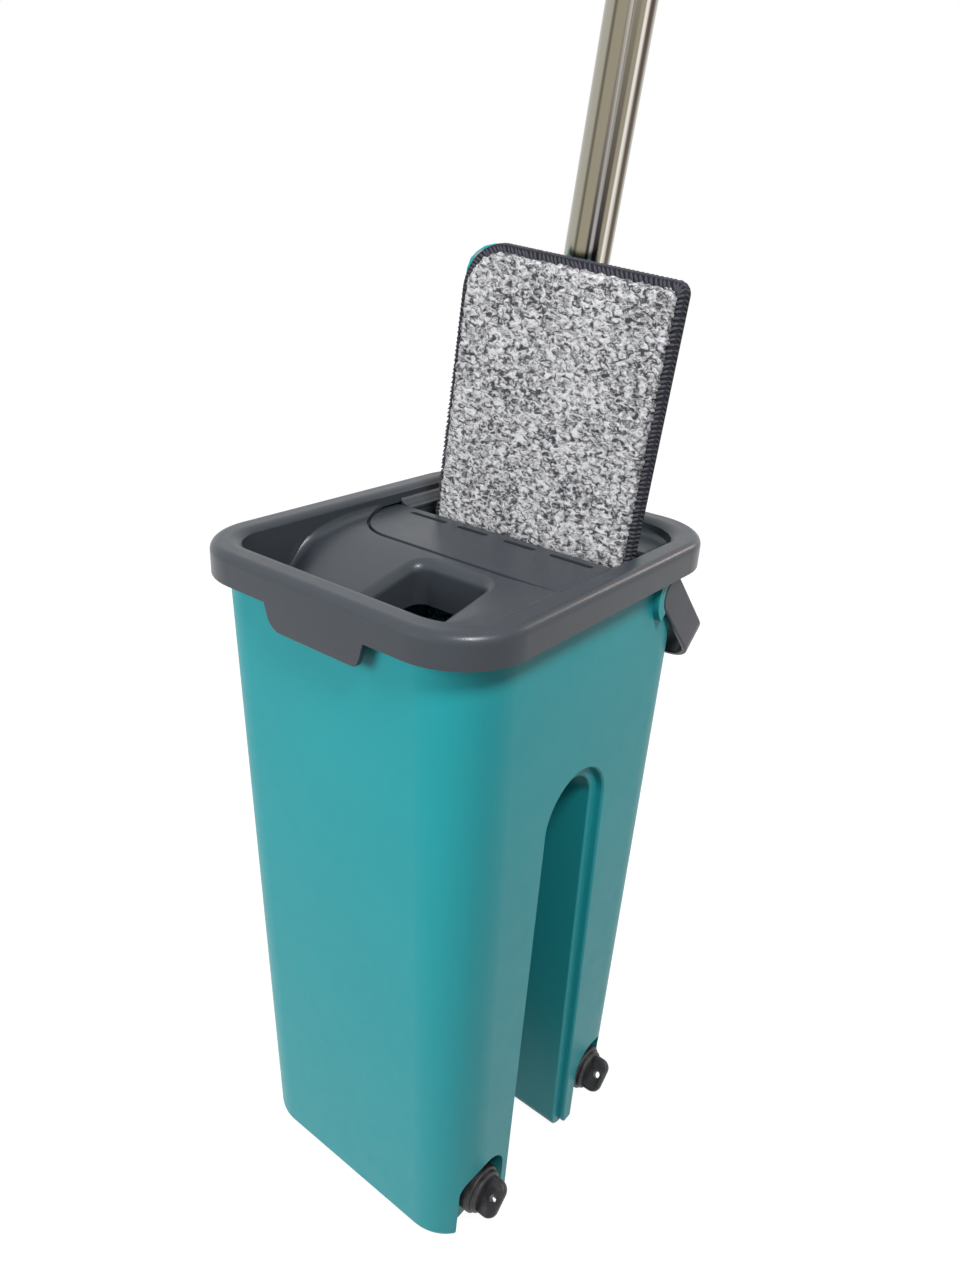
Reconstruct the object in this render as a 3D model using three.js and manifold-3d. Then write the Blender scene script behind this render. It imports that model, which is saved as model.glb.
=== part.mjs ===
// A flat mop standing in its self-wringing bucket: a tall two-legged bucket with a slotted lid, and a
// telescopic mop whose flat head hangs half-way down the slot. Millimetres, +Z up.
// The bucket's front, the face with the arch that the near leg and the far leg share, looks along -Y.

import * as THREE from "three";
import { mergeVertices } from "three/addons/utils/BufferGeometryUtils.js";
import Module from "manifold-3d";

// Driving dimensions, in millimetres and degrees

const fit = {
  gap: 0.3, // between pieces that touch
  running: 0.5, // between pieces that move past each other
  overrun: 2, // how far a cutting shape passes the face it cuts
  skim: 0.05, // the same where the cutting shape follows the face
};

const shell = {
  height: 376.2, // top edge of the wall, inside the lid's rim
  footHalfWidth: 80, // outside, at the floor
  footHalfDepth: 77.8,
  topHalfWidth: 96.1, // outside, at the top edge
  topHalfDepth: 80.1,
  cornerRadius: 27.5,
  wall: 2.5,
  footEdge: 5, // rounding of the feet's lower edges
  beadHeight: 2, // of the small bead just under the lid's rim
  beadProud: 1.6,
};

const arch = {
  centreX: -2.2,
  footHalfWidth: 29.9,
  shoulderHalfWidth: 25.2,
  crown: 278.6,
  edge: 7, // rounding where the arch meets the front and back faces
  footFlare: 8, // rounding of the legs' inner lower edges
};

const recess = {
  radius: 21.2, // half its width, and the radius of its round top
  apex: 50.4,
  depth: 12,
};

const plug = {
  centreHeight: 27.5,
  flangeRadius: 13.5,
  flangeThickness: 4,
  hubRadius: 12.2,
  hubThickness: 7.5,
  stemRadius: 9,
  stemLength: 9,
  tabWidth: 15,
  tabLength: 11,
  tabThickness: 4.6,
  tabTilt: 30, // degrees from level
  tabHoleRadius: 1.9,
};

const rim = {
  aboveShell: 3.8, // its top over the shell's edge
  height: 15,
  halfWidth: 102.9,
  halfDepth: 87.7,
  cornerRadius: 35,
  topEdge: 7,
  skirt: 2.5, // thickness of the skirt outside the shell
  crust: 3.5, // thickness of the rim's top
  width: 14.6, // from the outside to the tray's edge
  trayEdge: 3, // rounding of the tray's edge
};

const apron = {
  topHalfLength: 29,
  bottomHalfLength: 21,
  drop: 13.5,
  corner: 5,
  topLap: 4.5, // how far it reaches up into the rim's skirt
};

const tray = {
  drop: 8.6, // from the rim's top to the flat part, flush with the scraper panel
  floorThickness: 2.5,
  wall: 2.5,
  fallStartX: -18, // where the floor begins to fall away to the left
  fallLength: 30,
  frontFall: 14,
  frontRise: 34, // the length over which the floor comes up again towards the front rim
  backFall: 26,
  deepenStartY: 5, // where the pocket gets deeper towards the back
  deepenLength: 50,
  rampStartY: -65.5, // where the floor starts to climb onto the front rim
  rampRise: 7,
  rampLength: 9.7,
  frontCornerRadius: 27,
};

const pour = {
  rightX: -25,
  leftX: -66,
  backY: 8,
  frontY: -36,
  cornerRadius: 12,
  collarDepth: 17,
  collarWall: 2.2,
};

const slot = {
  leftX: 14,
  ledge: 0.5, // between the slot and the tray's walls, at the right and the back
  frontY: -69.5,
  cornerRadius: 5,
  collarWall: 2.2,
  collarDepth: 27.4, // below the tray's level
};

const panel = {
  leftX: -12.6,
  rightX: 31.3,
  frontY: -65.1,
  backY: 72.2,
  cornerWidth: 24, // the back left corner is a quarter ellipse
  cornerDepth: 20,
  thickness: 2.7,
  groove: 0.8, // open joint to the tray floor
  lipDepth: 4,
  lipThickness: 2.4,
  edge: 1,
};

const windows = {
  centreX: 24.5,
  width: 2.4,
  outerLength: 25.3,
  innerLength: 20.3,
  innerStart: 6, // from the middle to the near end of an inner window
  outerStart: 33.4,
};

const scraper = {
  flangeLeftX: 16.5,
  flangeThickness: 2.2,
  webThickness: 2.6,
  webDrop: 16,
  halfLength: 60,
  tabHeight: 2,
  tabSide: 0.4, // clearance of a tab in its window, each side
  lipDrop: 8,
  lipThickness: 2,
  lipSlot: 3, // how far the lip reaches up into the web
  lipReach: 2.9, // of the lip's edge past the panel's edge, to the pad
};

const bail = {
  pivotX: 63.3,
  pivotDrop: 26.2, // below the rim's top
  innerFace: 80.5, // distance of an arm's inner face from the middle plane
  thickness: 2.8,
  headRadius: 8.3,
  armHalfWidth: 8.3,
  reach: 57, // from the pivot to the outside of the grip
  bend: 18, // outside radius where an arm turns into the grip
  gripThickness: 3.2,
  hang: 46.3, // degrees below level, at rest
  postRadius: 4,
  postSeat: 1.8, // how far the post reaches into the arm
};

const rib = {
  innerRadius: 9,
  outerRadius: 10.6,
  height: 3,
  startAngle: 76,
  endAngle: 236,
};

const pad = {
  width: 118,
  length: 302,
  cornerRadius: 10,
  bindingWidth: 4.7,
  bindingThickness: 6.6,
  pileThickness: 7.5,
  pileCrown: 0.8,
  backingThickness: 2.3,
  turn: -1.2, // degrees the pad is stuck on askew
  offset: -6.7, // the pad sits to the right of the plate's middle
};

const hook = {
  width: 22,
  length: 270,
  thickness: 1.5,
  centre: 30,
};

const plate = {
  width: 117,
  length: 300,
  cornerRadius: 22,
  sheet: 2.4,
  thickness: 4.2,
  ribWidth: 2.4,
  tubeClearance: 1, // from the plate's ribs to the tube lying along it
  ribSpacing: 37.5,
};

const seat = {
  // the middle of the pad's face just below the tray's level, and how the mop leans there
  x: 37.6,
  y: -7.2,
  belowTray: 2.8,
  leanForward: 6.4,
  leanLeft: -1.4,
  turn: 4.8,
  aboveJoint: 12.7, // how far this point lies above the head's first pin
};

const tube = {
  radius: 11,
  wall: 0.8,
  length: 640,
  upperRadius: 9.5,
  upperWall: 0.7,
  upperLength: 600,
  standOut: 122, // of the upper tube's top over the lower one's, at rest
};

const bracket = {
  halfWidth: 27,
  above: 8, // above and below the first pin
  below: 28,
  thickness: 2.8,
  cornerRadius: 4,
  lugThickness: 5,
  lugRadius: 8.5,
  screwY: 20,
  screwAbove: -14,
  screwBelow: -22,
};

const screw = { headRadius: 3, headHeight: 1.2, shankRadius: 1.4 };

const joint = {
  pinRadius: 3,
  headRadius: 5,
  headThickness: 1.6,
  barrelRadius: 8,
  barrelHalfLength: 16.5,
  topBarrelHalfLength: 7.4,
  spacing: 20, // between the two pins
  webHalfWidth: 6.5,
};

const yoke = {
  prongThickness: 2.6,
  prongRadius: 9,
  shoulder: 9, // from the prongs' top to the tube's foot
  spigotLength: 36,
  spigotGap: 0.3,
};

const rivet = { radius: 2, headRadius: 3.4, headHeight: 1, above: 20 };

const lock = {
  sleeveRadius: 15,
  sleeveLength: 58,
  grips: 12,
  gripDepth: 1,
  bushLength: 26,
  bushFlange: 1.5,
  lapOnTube: 22,
  coneLength: 32,
  coneCore: 4,
};

const grip = {
  radius: 14.5,
  length: 118,
  wall: 2,
  rings: 9,
  ringDepth: 0.9,
  belly: 1,
  aboveSleeve: 6,
};

const cap = {
  length: 34,
  holeRadius: 6.5,
  holeDrop: 15,
  thickness: 12,
  // the dome's outline: shares of the radius, and of the length down from the top
  domeShares: [[1, 0.4], [0.92, 0.2], [0.7, 0.06], [0.35, 0]],
};

// How finely curves are faceted: sides, steps and rows, not lengths
const detail = {
  corner: 3,
  arc: 7,
  round: 20,
  small: 12,
  groove: 8,
  slot: 2,
  bevel: 2,
  floorX: 10,
  floorY: 14,
  ringSteps: 3,
};

// Levels that follow from the shell's height

const rimTop = shell.height + rim.aboveShell;
const rimBottom = rimTop - rim.height;
const trayLevel = rimTop - tray.drop;
const beadTop = rimBottom - fit.gap;
const pivotZ = rimTop - bail.pivotDrop;

// Finishes

const colours = {
  teal: 0x2f9aa0,
  graphite: 0x4b4e54,
  black: 0x16171a,
  steel: 0xb8b2a6,
  zinc: 0xa9abae,
  pile: 0xa2a3a6,
  charcoal: 0x2b2c31,
  white: 0xd9dbd8,
};

function finish(colour, roughness, metalness = 0) {
  return new THREE.MeshStandardMaterial({ color: colour, roughness, metalness });
}

// Solids: a closed geometry becomes a solid that can be joined and cut, and back

const wasm = await Module();
wasm.setup();

function solid(geometry) {
  const bare = geometry.clone();
  bare.deleteAttribute("normal");
  bare.deleteAttribute("uv");
  const merged = mergeVertices(bare, 1e-4);
  return new wasm.Manifold(
    new wasm.Mesh({
      numProp: 3,
      vertProperties: merged.attributes.position.array,
      triVerts: new Uint32Array(merged.index.array),
    }),
  );
}

function geometryOf(made) {
  const mesh = made.getMesh();
  const geometry = new THREE.BufferGeometry();
  geometry.setAttribute("position", new THREE.BufferAttribute(mesh.vertProperties, 3));
  geometry.setIndex(new THREE.BufferAttribute(mesh.triVerts, 1));
  const faceted = geometry.toNonIndexed();
  faceted.computeVertexNormals();
  return faceted;
}

// The largest of the bodies that a cut leaves, without its slivers
function main(made) {
  return made.decompose().reduce((best, next) => (next.volume() > best.volume() ? next : best));
}

function join(first, ...rest) {
  return rest.reduce((sum, next) => sum.add(next), first);
}

function cut(first, ...rest) {
  return rest.reduce((left, next) => left.subtract(next), first);
}

const X = new THREE.Vector3(1, 0, 0);
const Y = new THREE.Vector3(0, 1, 0);
const Z = new THREE.Vector3(0, 0, 1);

// An outline drawn in (x, z) and extruded towards -Y, or drawn in (y, z) and extruded towards +X

const intoY = new THREE.Matrix4().makeBasis(X, Z, Y.clone().negate());
const intoX = new THREE.Matrix4().makeBasis(Y, Z, X);

function prism(outline, low, high, curveSegments = detail.corner) {
  const geometry = new THREE.ExtrudeGeometry(outline, {
    depth: high - low,
    bevelEnabled: false,
    curveSegments,
  });
  return geometry.translate(0, 0, low);
}

// A prism whose end edges are rounded by edge, or, where flare is true, whose ends open out by it
function softPrism(outline, low, high, edge, flare = false) {
  const geometry = new THREE.ExtrudeGeometry(outline, {
    depth: high - low - 2 * edge,
    bevelEnabled: true,
    bevelThickness: edge,
    bevelSize: flare ? -edge : edge,
    bevelOffset: flare ? edge : -edge,
    bevelSegments: detail.bevel,
    curveSegments: detail.corner,
  });
  return geometry.translate(0, 0, low + edge);
}

function alongY(outline, low, high, curveSegments = detail.corner) {
  return prism(outline, -high, -low, curveSegments).applyMatrix4(intoY);
}

function alongX(outline, low, high, curveSegments = detail.corner) {
  return prism(outline, low, high, curveSegments).applyMatrix4(intoX);
}

function box(lowX, highX, lowY, highY, lowZ, highZ) {
  const geometry = new THREE.BoxGeometry(highX - lowX, highY - lowY, highZ - lowZ);
  return geometry.translate((lowX + highX) / 2, (lowY + highY) / 2, (lowZ + highZ) / 2);
}

function rod(radius, low, high, axis = "z", sides = detail.small) {
  const geometry = new THREE.CylinderGeometry(radius, radius, high - low, sides);
  geometry.translate(0, (low + high) / 2, 0);
  if (axis === "z") geometry.rotateX(Math.PI / 2);
  if (axis === "x") geometry.rotateZ(-Math.PI / 2);
  return geometry;
}

function turned(points, sides = detail.round) {
  const profile = points.map(([r, z]) => new THREE.Vector2(r, z));
  return new THREE.LatheGeometry(profile, sides).rotateX(Math.PI / 2);
}

// Corner radii run anticlockwise from the corner at highX, highY
function fourCorners(lowX, highX, lowY, highY, [a, b, c, d]) {
  const outline = new THREE.Shape();
  outline.absarc(highX - a, highY - a, a, 0, Math.PI / 2);
  outline.absarc(lowX + b, highY - b, b, Math.PI / 2, Math.PI);
  outline.absarc(lowX + c, lowY + c, c, Math.PI, 1.5 * Math.PI);
  outline.absarc(highX - d, lowY + d, d, 1.5 * Math.PI, 2 * Math.PI);
  outline.closePath();
  return outline;
}

function roundedRect(lowX, highX, lowY, highY, radius) {
  return fourCorners(lowX, highX, lowY, highY, [radius, radius, radius, radius]);
}

function centredRect(halfWidth, halfDepth, radius) {
  return roundedRect(-halfWidth, halfWidth, -halfDepth, halfDepth, radius);
}

function warp(geometry, change) {
  const position = geometry.attributes.position;
  const point = new THREE.Vector3();
  for (let i = 0; i < position.count; i += 1) {
    change(point.fromBufferAttribute(position, i));
    position.setXYZ(i, point.x, point.y, point.z);
  }
  return geometry;
}

function smooth(share) {
  const t = Math.min(Math.max(share, 0), 1);
  return t * t * (3 - 2 * t);
}

const radians = THREE.MathUtils.degToRad;

const model = new THREE.Group();

function add(parent, name, made, material) {
  const mesh = new THREE.Mesh(geometryOf(made), material);
  mesh.name = name;
  parent.add(mesh);
  return mesh;
}

// Bucket shell: the walls spread evenly from the floor to the top edge

function spreadX(z) {
  return 1 + ((shell.topHalfWidth / shell.footHalfWidth - 1) * z) / shell.height;
}

function spreadY(z) {
  return 1 + ((shell.topHalfDepth / shell.footHalfDepth - 1) * z) / shell.height;
}

function spreadWalls(point) {
  point.x *= spreadX(point.z);
  point.y *= spreadY(point.z);
}

// The body's outside, or a smaller block that stands inset from it
function bodyBlock(inset, low, high, edge) {
  const outline = centredRect(
    shell.footHalfWidth - inset,
    shell.footHalfDepth - inset,
    shell.cornerRadius - inset,
  );
  const block = edge > 0 ? softPrism(outline, low, high, edge) : prism(outline, low, high);
  return solid(warp(block, spreadWalls));
}

function archOutline(grow) {
  const foot = arch.footHalfWidth + grow;
  const shoulder = arch.shoulderHalfWidth + grow;
  const springing = arch.crown - arch.shoulderHalfWidth;
  const flare = arch.footFlare;
  const outline = new THREE.Shape();
  outline.moveTo(foot + flare, -fit.overrun);
  outline.lineTo(foot + flare, 0);
  outline.absarc(foot + flare, flare, flare, 1.5 * Math.PI, Math.PI, true);
  outline.absarc(0, springing, shoulder, 0, Math.PI / 2);
  outline.absarc(0, springing, shoulder, Math.PI / 2, Math.PI);
  outline.absarc(-foot - flare, flare, flare, 0, -Math.PI / 2, true);
  outline.lineTo(-foot - flare, -fit.overrun);
  outline.closePath();
  return outline;
}

function archTool(grow) {
  const reach = shell.footHalfDepth + fit.skim;
  const edge = grow > 0 ? fit.overrun : arch.edge;
  const tool = softPrism(archOutline(grow), -reach, reach, edge, true).applyMatrix4(intoY);
  warp(tool, (point) => {
    point.y *= spreadY(point.z);
  });
  return solid(tool.translate(arch.centreX, 0, 0));
}

// The middle of each leg, on the floor
const legs = [-1, 1].map((side) => {
  const inner = arch.centreX + side * arch.footHalfWidth;
  return (inner + side * shell.footHalfWidth) / 2;
});

const recessFace = -(shell.footHalfDepth - recess.depth); // y of a recess's back wall

function recessTool(centreX, grow) {
  const radius = recess.radius + grow;
  const outline = new THREE.Shape();
  outline.absarc(0, recess.apex - recess.radius, radius, 0, Math.PI);
  outline.lineTo(-radius, -fit.overrun);
  outline.lineTo(radius, -fit.overrun);
  outline.closePath();
  const front = -shell.topHalfDepth - fit.overrun;
  return solid(alongY(outline, front, recessFace + grow, detail.arc).translate(centreX, 0, 0));
}

function makeShell() {
  const top = shell.height + shell.footEdge + fit.overrun;
  const outside = bodyBlock(0, 0, top, shell.footEdge);
  let inside = bodyBlock(shell.wall, shell.wall, top + fit.overrun, shell.footEdge - shell.wall);
  inside = cut(inside, archTool(shell.wall), ...legs.map((x) => recessTool(x, shell.wall)));
  const beadOutline = centredRect(
    shell.footHalfWidth + shell.beadProud,
    shell.footHalfDepth + shell.beadProud,
    shell.cornerRadius + shell.beadProud,
  );
  const bead = solid(
    warp(prism(beadOutline, beadTop - shell.beadHeight, beadTop), spreadWalls),
  );
  const reach = rim.halfWidth;
  const above = solid(box(-reach, reach, -reach, reach, shell.height, top + 2 * fit.overrun));
  let made = cut(join(outside, bead), above, archTool(0), ...legs.map((x) => recessTool(x, 0)));
  for (const side of [-1, 1]) made = join(made, pivotMount(side));
  made = cut(made, inside);
  for (const x of legs) {
    const radius = plug.stemRadius + fit.gap;
    const drain = rod(radius, recessFace - shell.wall, recessFace + 2 * shell.wall, "y", detail.round);
    made = cut(made, solid(drain.translate(x, 0, plug.centreHeight)));
  }
  return main(made);
}

// The handle's post and the C-shaped rib round its head, on the front (-1) or the back (1)
function pivotMount(side) {
  const wallIn = shell.footHalfDepth - shell.wall;
  const ring = new THREE.Shape();
  const start = radians(rib.startAngle);
  const end = radians(rib.endAngle);
  ring.absarc(0, 0, rib.outerRadius, start, end, false);
  ring.absarc(0, 0, rib.innerRadius, end, start, true);
  ring.closePath();
  const face = shell.footHalfDepth * spreadY(pivotZ);
  const ribSolid = solid(alongY(ring, wallIn, face + rib.height, detail.arc));
  const post = solid(
    rod(bail.postRadius, wallIn, bail.innerFace + bail.postSeat, "y", detail.small),
  );
  const both = join(ribSolid, post).translate([bail.pivotX, 0, pivotZ]);
  return side > 0 ? both : both.mirror([0, 1, 0]);
}

// Tray lid

function trayFloor(x, y) {
  const deepest = THREE.MathUtils.lerp(
    tray.frontFall,
    tray.backFall,
    smooth((y - tray.deepenStartY) / tray.deepenLength),
  );
  const fall = deepest * smooth((y - tray.rampStartY) / tray.frontRise);
  return trayLevel - fall * smooth((tray.fallStartX - x) / tray.fallLength);
}

// Everything above the tray's floor (sink 0), or everything above a surface that lies sink below it
function aboveFloor(sink) {
  const top = rimTop + rim.topEdge;
  const reach = rim.halfWidth;
  const front = tray.rampStartY;
  const width = reach + tray.fallStartX;
  const depth = rim.halfDepth - front;
  const falling = new THREE.BoxGeometry(width, depth, 2, detail.floorX, detail.floorY, 1);
  falling.translate(-reach + width / 2, front + depth / 2, 0);
  warp(falling, (point) => {
    point.z = point.z > 0 ? top : trayFloor(point.x, point.y) - sink;
  });
  const ramp = new THREE.Shape();
  const low = trayLevel - sink;
  ramp.moveTo(rim.halfDepth, low);
  ramp.lineTo(rim.halfDepth, top);
  ramp.lineTo(front - 2 * tray.rampLength, top);
  ramp.lineTo(front - 2 * tray.rampLength, low + 2 * tray.rampRise);
  ramp.lineTo(front, low);
  ramp.closePath();
  return join(solid(falling), solid(alongX(ramp, tray.fallStartX - fit.gap, reach)), frontRamp(low, top));
}

// The climb onto the front rim, left of the flat part
function frontRamp(low, top) {
  const ramp = new THREE.Shape();
  const front = tray.rampStartY;
  ramp.moveTo(front + fit.gap, low);
  ramp.lineTo(front + fit.gap, top);
  ramp.lineTo(front - 2 * tray.rampLength, top);
  ramp.lineTo(front - 2 * tray.rampLength, low + 2 * tray.rampRise);
  ramp.lineTo(front, low);
  ramp.closePath();
  return solid(alongX(ramp, -rim.halfWidth, tray.fallStartX));
}

const trayHalfWidth = rim.halfWidth - rim.width;
const trayHalfDepth = rim.halfDepth - rim.width;
const trayRadius = rim.cornerRadius - rim.width;

function trayOutline(grow) {
  const halfWidth = trayHalfWidth + grow;
  const front = tray.rampStartY - tray.rampLength - grow;
  const backCorner = trayRadius + grow;
  const frontCorner = tray.frontCornerRadius + grow;
  const corners = [backCorner, backCorner, frontCorner, frontCorner];
  return fourCorners(-halfWidth, halfWidth, front, trayHalfDepth + grow, corners);
}

function pourOutline(grow) {
  const radius = pour.cornerRadius + grow;
  return roundedRect(pour.leftX - grow, pour.rightX + grow, pour.frontY - grow, pour.backY + grow, radius);
}

function slotOutline(grow) {
  const right = trayHalfWidth - slot.ledge + grow;
  const back = trayHalfDepth - slot.ledge + grow;
  const small = slot.cornerRadius + grow;
  const large = trayRadius - slot.ledge + grow;
  return fourCorners(slot.leftX - grow, right, slot.frontY - grow, back, [large, small, small, large]);
}

function panelOutline(grow) {
  const outline = new THREE.Shape();
  const left = panel.leftX - grow;
  const back = panel.backY + grow;
  const front = panel.frontY - grow;
  outline.moveTo(panel.rightX, front);
  outline.lineTo(panel.rightX, back);
  outline.absellipse(
    left + panel.cornerWidth,
    back - panel.cornerDepth,
    panel.cornerWidth,
    panel.cornerDepth,
    Math.PI / 2,
    Math.PI,
  );
  outline.lineTo(left, front);
  outline.closePath();
  return outline;
}

function apronOutline() {
  const outline = new THREE.Shape();
  const top = rimBottom + apron.topLap;
  const bottom = rimBottom - apron.drop;
  outline.moveTo(apron.topHalfLength, top);
  outline.lineTo(-apron.topHalfLength, top);
  outline.lineTo(-apron.topHalfLength, rimBottom);
  outline.quadraticCurveTo(
    -apron.topHalfLength + apron.corner / 4,
    bottom,
    -apron.bottomHalfLength + apron.corner,
    bottom,
  );
  outline.lineTo(apron.bottomHalfLength - apron.corner, bottom);
  outline.quadraticCurveTo(apron.topHalfLength - apron.corner / 4, bottom, apron.topHalfLength, rimBottom);
  outline.closePath();
  return outline;
}

const panelSeat = trayLevel - panel.thickness - fit.gap;

function makeLid() {
  const outline = centredRect(rim.halfWidth, rim.halfDepth, rim.cornerRadius);
  const reach = rim.halfWidth;
  const rimBlock = cut(
    solid(softPrism(outline, rimBottom - rim.topEdge, rimTop, rim.topEdge)),
    solid(box(-reach, reach, -reach, reach, rimBottom - rim.topEdge, rimBottom)),
  );
  const channelOutline = centredRect(
    rim.halfWidth - rim.skirt,
    rim.halfDepth - rim.skirt,
    rim.cornerRadius - rim.skirt,
  );
  const underRim = solid(prism(channelOutline, rimBottom - fit.overrun, rimTop - rim.crust));
  const deepest = trayLevel - tray.backFall - tray.floorThickness;
  const collarBottom = trayLevel - slot.collarDepth;
  const sill = Math.min(deepest, collarBottom) - fit.overrun;
  const basin = cut(
    solid(prism(trayOutline(tray.wall), sill, rimTop - rim.crust / 2)),
    solid(box(-reach, reach, -reach, reach, sill, sill + fit.overrun)),
  );
  const skin = basin.intersect(aboveFloor(tray.floorThickness));
  const hollowLow = rimBottom - tray.backFall;
  const hollow = solid(softPrism(trayOutline(0), hollowLow, rimTop + fit.skim, rim.trayEdge, true));
  const apronPlate = solid(alongX(apronOutline(), -rim.halfWidth, -rim.halfWidth + rim.skirt));
  const pourCollar = solid(prism(pourOutline(pour.collarWall), trayLevel - pour.collarDepth, trayLevel))
    .subtract(aboveFloor(tray.floorThickness / 2));
  const slotCollar = solid(prism(slotOutline(slot.collarWall), collarBottom, panelSeat));
  const seatLow = panelSeat - tray.floorThickness;
  const seatOutline = panelOutline(panel.groove + tray.wall);
  const seatBlock = solid(prism(seatOutline, seatLow, trayLevel)).intersect(basin);
  // what hangs below the rim stays clear of the shell's inside
  const inside = join(
    bodyBlock(shell.wall + fit.running, 0, shell.height + fit.gap, 0),
    solid(box(-reach, reach, -reach, reach, shell.height + fit.gap, rimTop)),
  );
  const basinParts = join(skin, pourCollar, slotCollar, seatBlock).intersect(inside);
  let made = join(cut(rimBlock, underRim), basinParts, apronPlate);
  made = cut(
    made,
    hollow.intersect(aboveFloor(0)),
    solid(prism(panelOutline(panel.groove), panelSeat, rimTop - rim.trayEdge)).intersect(hollow),
    solid(prism(pourOutline(0), sill - fit.overrun, rimTop)),
    solid(prism(slotOutline(0), sill - fit.overrun, rimTop)),
  );
  return main(made);
}

// Scraper panel, its holder and its rubber lip

function windowOutlines(side) {
  const half = windows.width / 2 - side;
  const spans = [
    [windows.innerStart, windows.innerLength],
    [windows.outerStart, windows.outerLength],
  ];
  return [-1, 1].flatMap((sign) =>
    spans.map(([start, length]) => {
      const near = sign * (start + side);
      const far = sign * (start + length - side);
      const low = Math.min(near, far);
      const high = Math.max(near, far);
      return roundedRect(windows.centreX - half, windows.centreX + half, low, high, half * 0.9);
    }),
  );
}

function makePanel() {
  const bottom = trayLevel - panel.thickness;
  let made = solid(softPrism(panelOutline(0), bottom - panel.edge, trayLevel, panel.edge));
  const reach = rim.halfWidth;
  made = cut(made, solid(box(-reach, reach, -reach, reach, bottom - 2 * panel.edge, bottom)));
  const lipLow = slot.frontY + slot.cornerRadius + fit.running;
  const lipHigh = trayHalfDepth - slot.ledge - slot.cornerRadius - fit.running;
  const lip = box(
    panel.rightX - panel.lipThickness,
    panel.rightX - fit.gap,
    lipLow,
    lipHigh,
    bottom - panel.lipDepth,
    bottom + panel.thickness / 2,
  );
  made = join(made, solid(lip));
  for (const outline of windowOutlines(0)) {
    made = cut(made, solid(prism(outline, bottom - fit.overrun, trayLevel + fit.overrun, detail.slot)));
  }
  return made;
}

const holderTop = trayLevel - panel.thickness - fit.gap;
const webRight = panel.rightX - panel.lipThickness - fit.gap;
const webLeft = webRight - scraper.webThickness;
const webBottom = holderTop - scraper.webDrop;

function makeHolder() {
  const flange = box(
    scraper.flangeLeftX,
    webRight,
    -scraper.halfLength,
    scraper.halfLength,
    holderTop - scraper.flangeThickness,
    holderTop,
  );
  const web = box(
    webLeft,
    webRight,
    -scraper.halfLength,
    scraper.halfLength,
    webBottom,
    holderTop - scraper.flangeThickness / 2,
  );
  let made = join(solid(flange), solid(web));
  for (const outline of windowOutlines(scraper.tabSide)) {
    const tabLow = holderTop - scraper.flangeThickness / 2;
    made = join(made, solid(prism(outline, tabLow, holderTop + scraper.tabHeight, detail.slot)));
  }
  const groove = box(
    webLeft + (scraper.webThickness - scraper.lipThickness) / 2 - fit.gap,
    webRight + fit.overrun,
    -scraper.halfLength - fit.overrun,
    scraper.halfLength + fit.overrun,
    webBottom - fit.overrun,
    webBottom + scraper.lipSlot + fit.gap,
  );
  return cut(made, solid(groove));
}

function makeLip() {
  const left = webLeft + (scraper.webThickness - scraper.lipThickness) / 2;
  const outline = new THREE.Shape();
  const top = webBottom + scraper.lipSlot;
  const tip = webBottom - scraper.lipDrop;
  outline.moveTo(left, top);
  outline.lineTo(left, webBottom - scraper.lipDrop / 4);
  outline.lineTo(panel.rightX + scraper.lipReach - scraper.lipThickness / 2, tip);
  outline.lineTo(panel.rightX + scraper.lipReach, tip + scraper.lipThickness / 2);
  outline.lineTo(left + scraper.lipThickness, webBottom);
  outline.lineTo(left + scraper.lipThickness, top);
  outline.closePath();
  return solid(alongY(outline, -scraper.halfLength, scraper.halfLength));
}

// Drain plug: flange against the recess's back wall, stem through the drain, pull tab outwards

function makePlug(centreX) {
  const seatY = recessFace - fit.gap;
  const flangeY = seatY - plug.flangeThickness;
  const hubY = flangeY - plug.hubThickness;
  const tabOutline = new THREE.Shape();
  const half = plug.tabWidth / 2;
  const end = hubY - plug.tabLength;
  const round = half * 0.8;
  tabOutline.moveTo(-half, hubY + plug.hubThickness / 2);
  tabOutline.lineTo(-half, end + round);
  tabOutline.absarc(-half + round, end + round, round, Math.PI, 1.5 * Math.PI);
  tabOutline.absarc(half - round, end + round, round, 1.5 * Math.PI, 2 * Math.PI);
  tabOutline.lineTo(half, hubY + plug.hubThickness / 2);
  tabOutline.closePath();
  const hole = new THREE.Path();
  hole.absarc(half / 4, end + round, plug.tabHoleRadius, 0, 2 * Math.PI);
  tabOutline.holes.push(hole);
  const tab = prism(tabOutline, -plug.tabThickness / 2, plug.tabThickness / 2, detail.corner);
  tab.rotateY(-radians(plug.tabTilt));
  const made = join(
    solid(rod(plug.flangeRadius, flangeY, seatY, "y", detail.round)),
    solid(rod(plug.hubRadius, hubY, flangeY + plug.flangeThickness / 2, "y", detail.round)),
    solid(rod(plug.stemRadius, flangeY, seatY + plug.stemLength, "y", detail.round)),
    solid(tab),
  );
  return made.translate([centreX, 0, plug.centreHeight]);
}

// Carry handle: a flat bail, drawn level with its pivot at the origin and then let down to its rest

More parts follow.
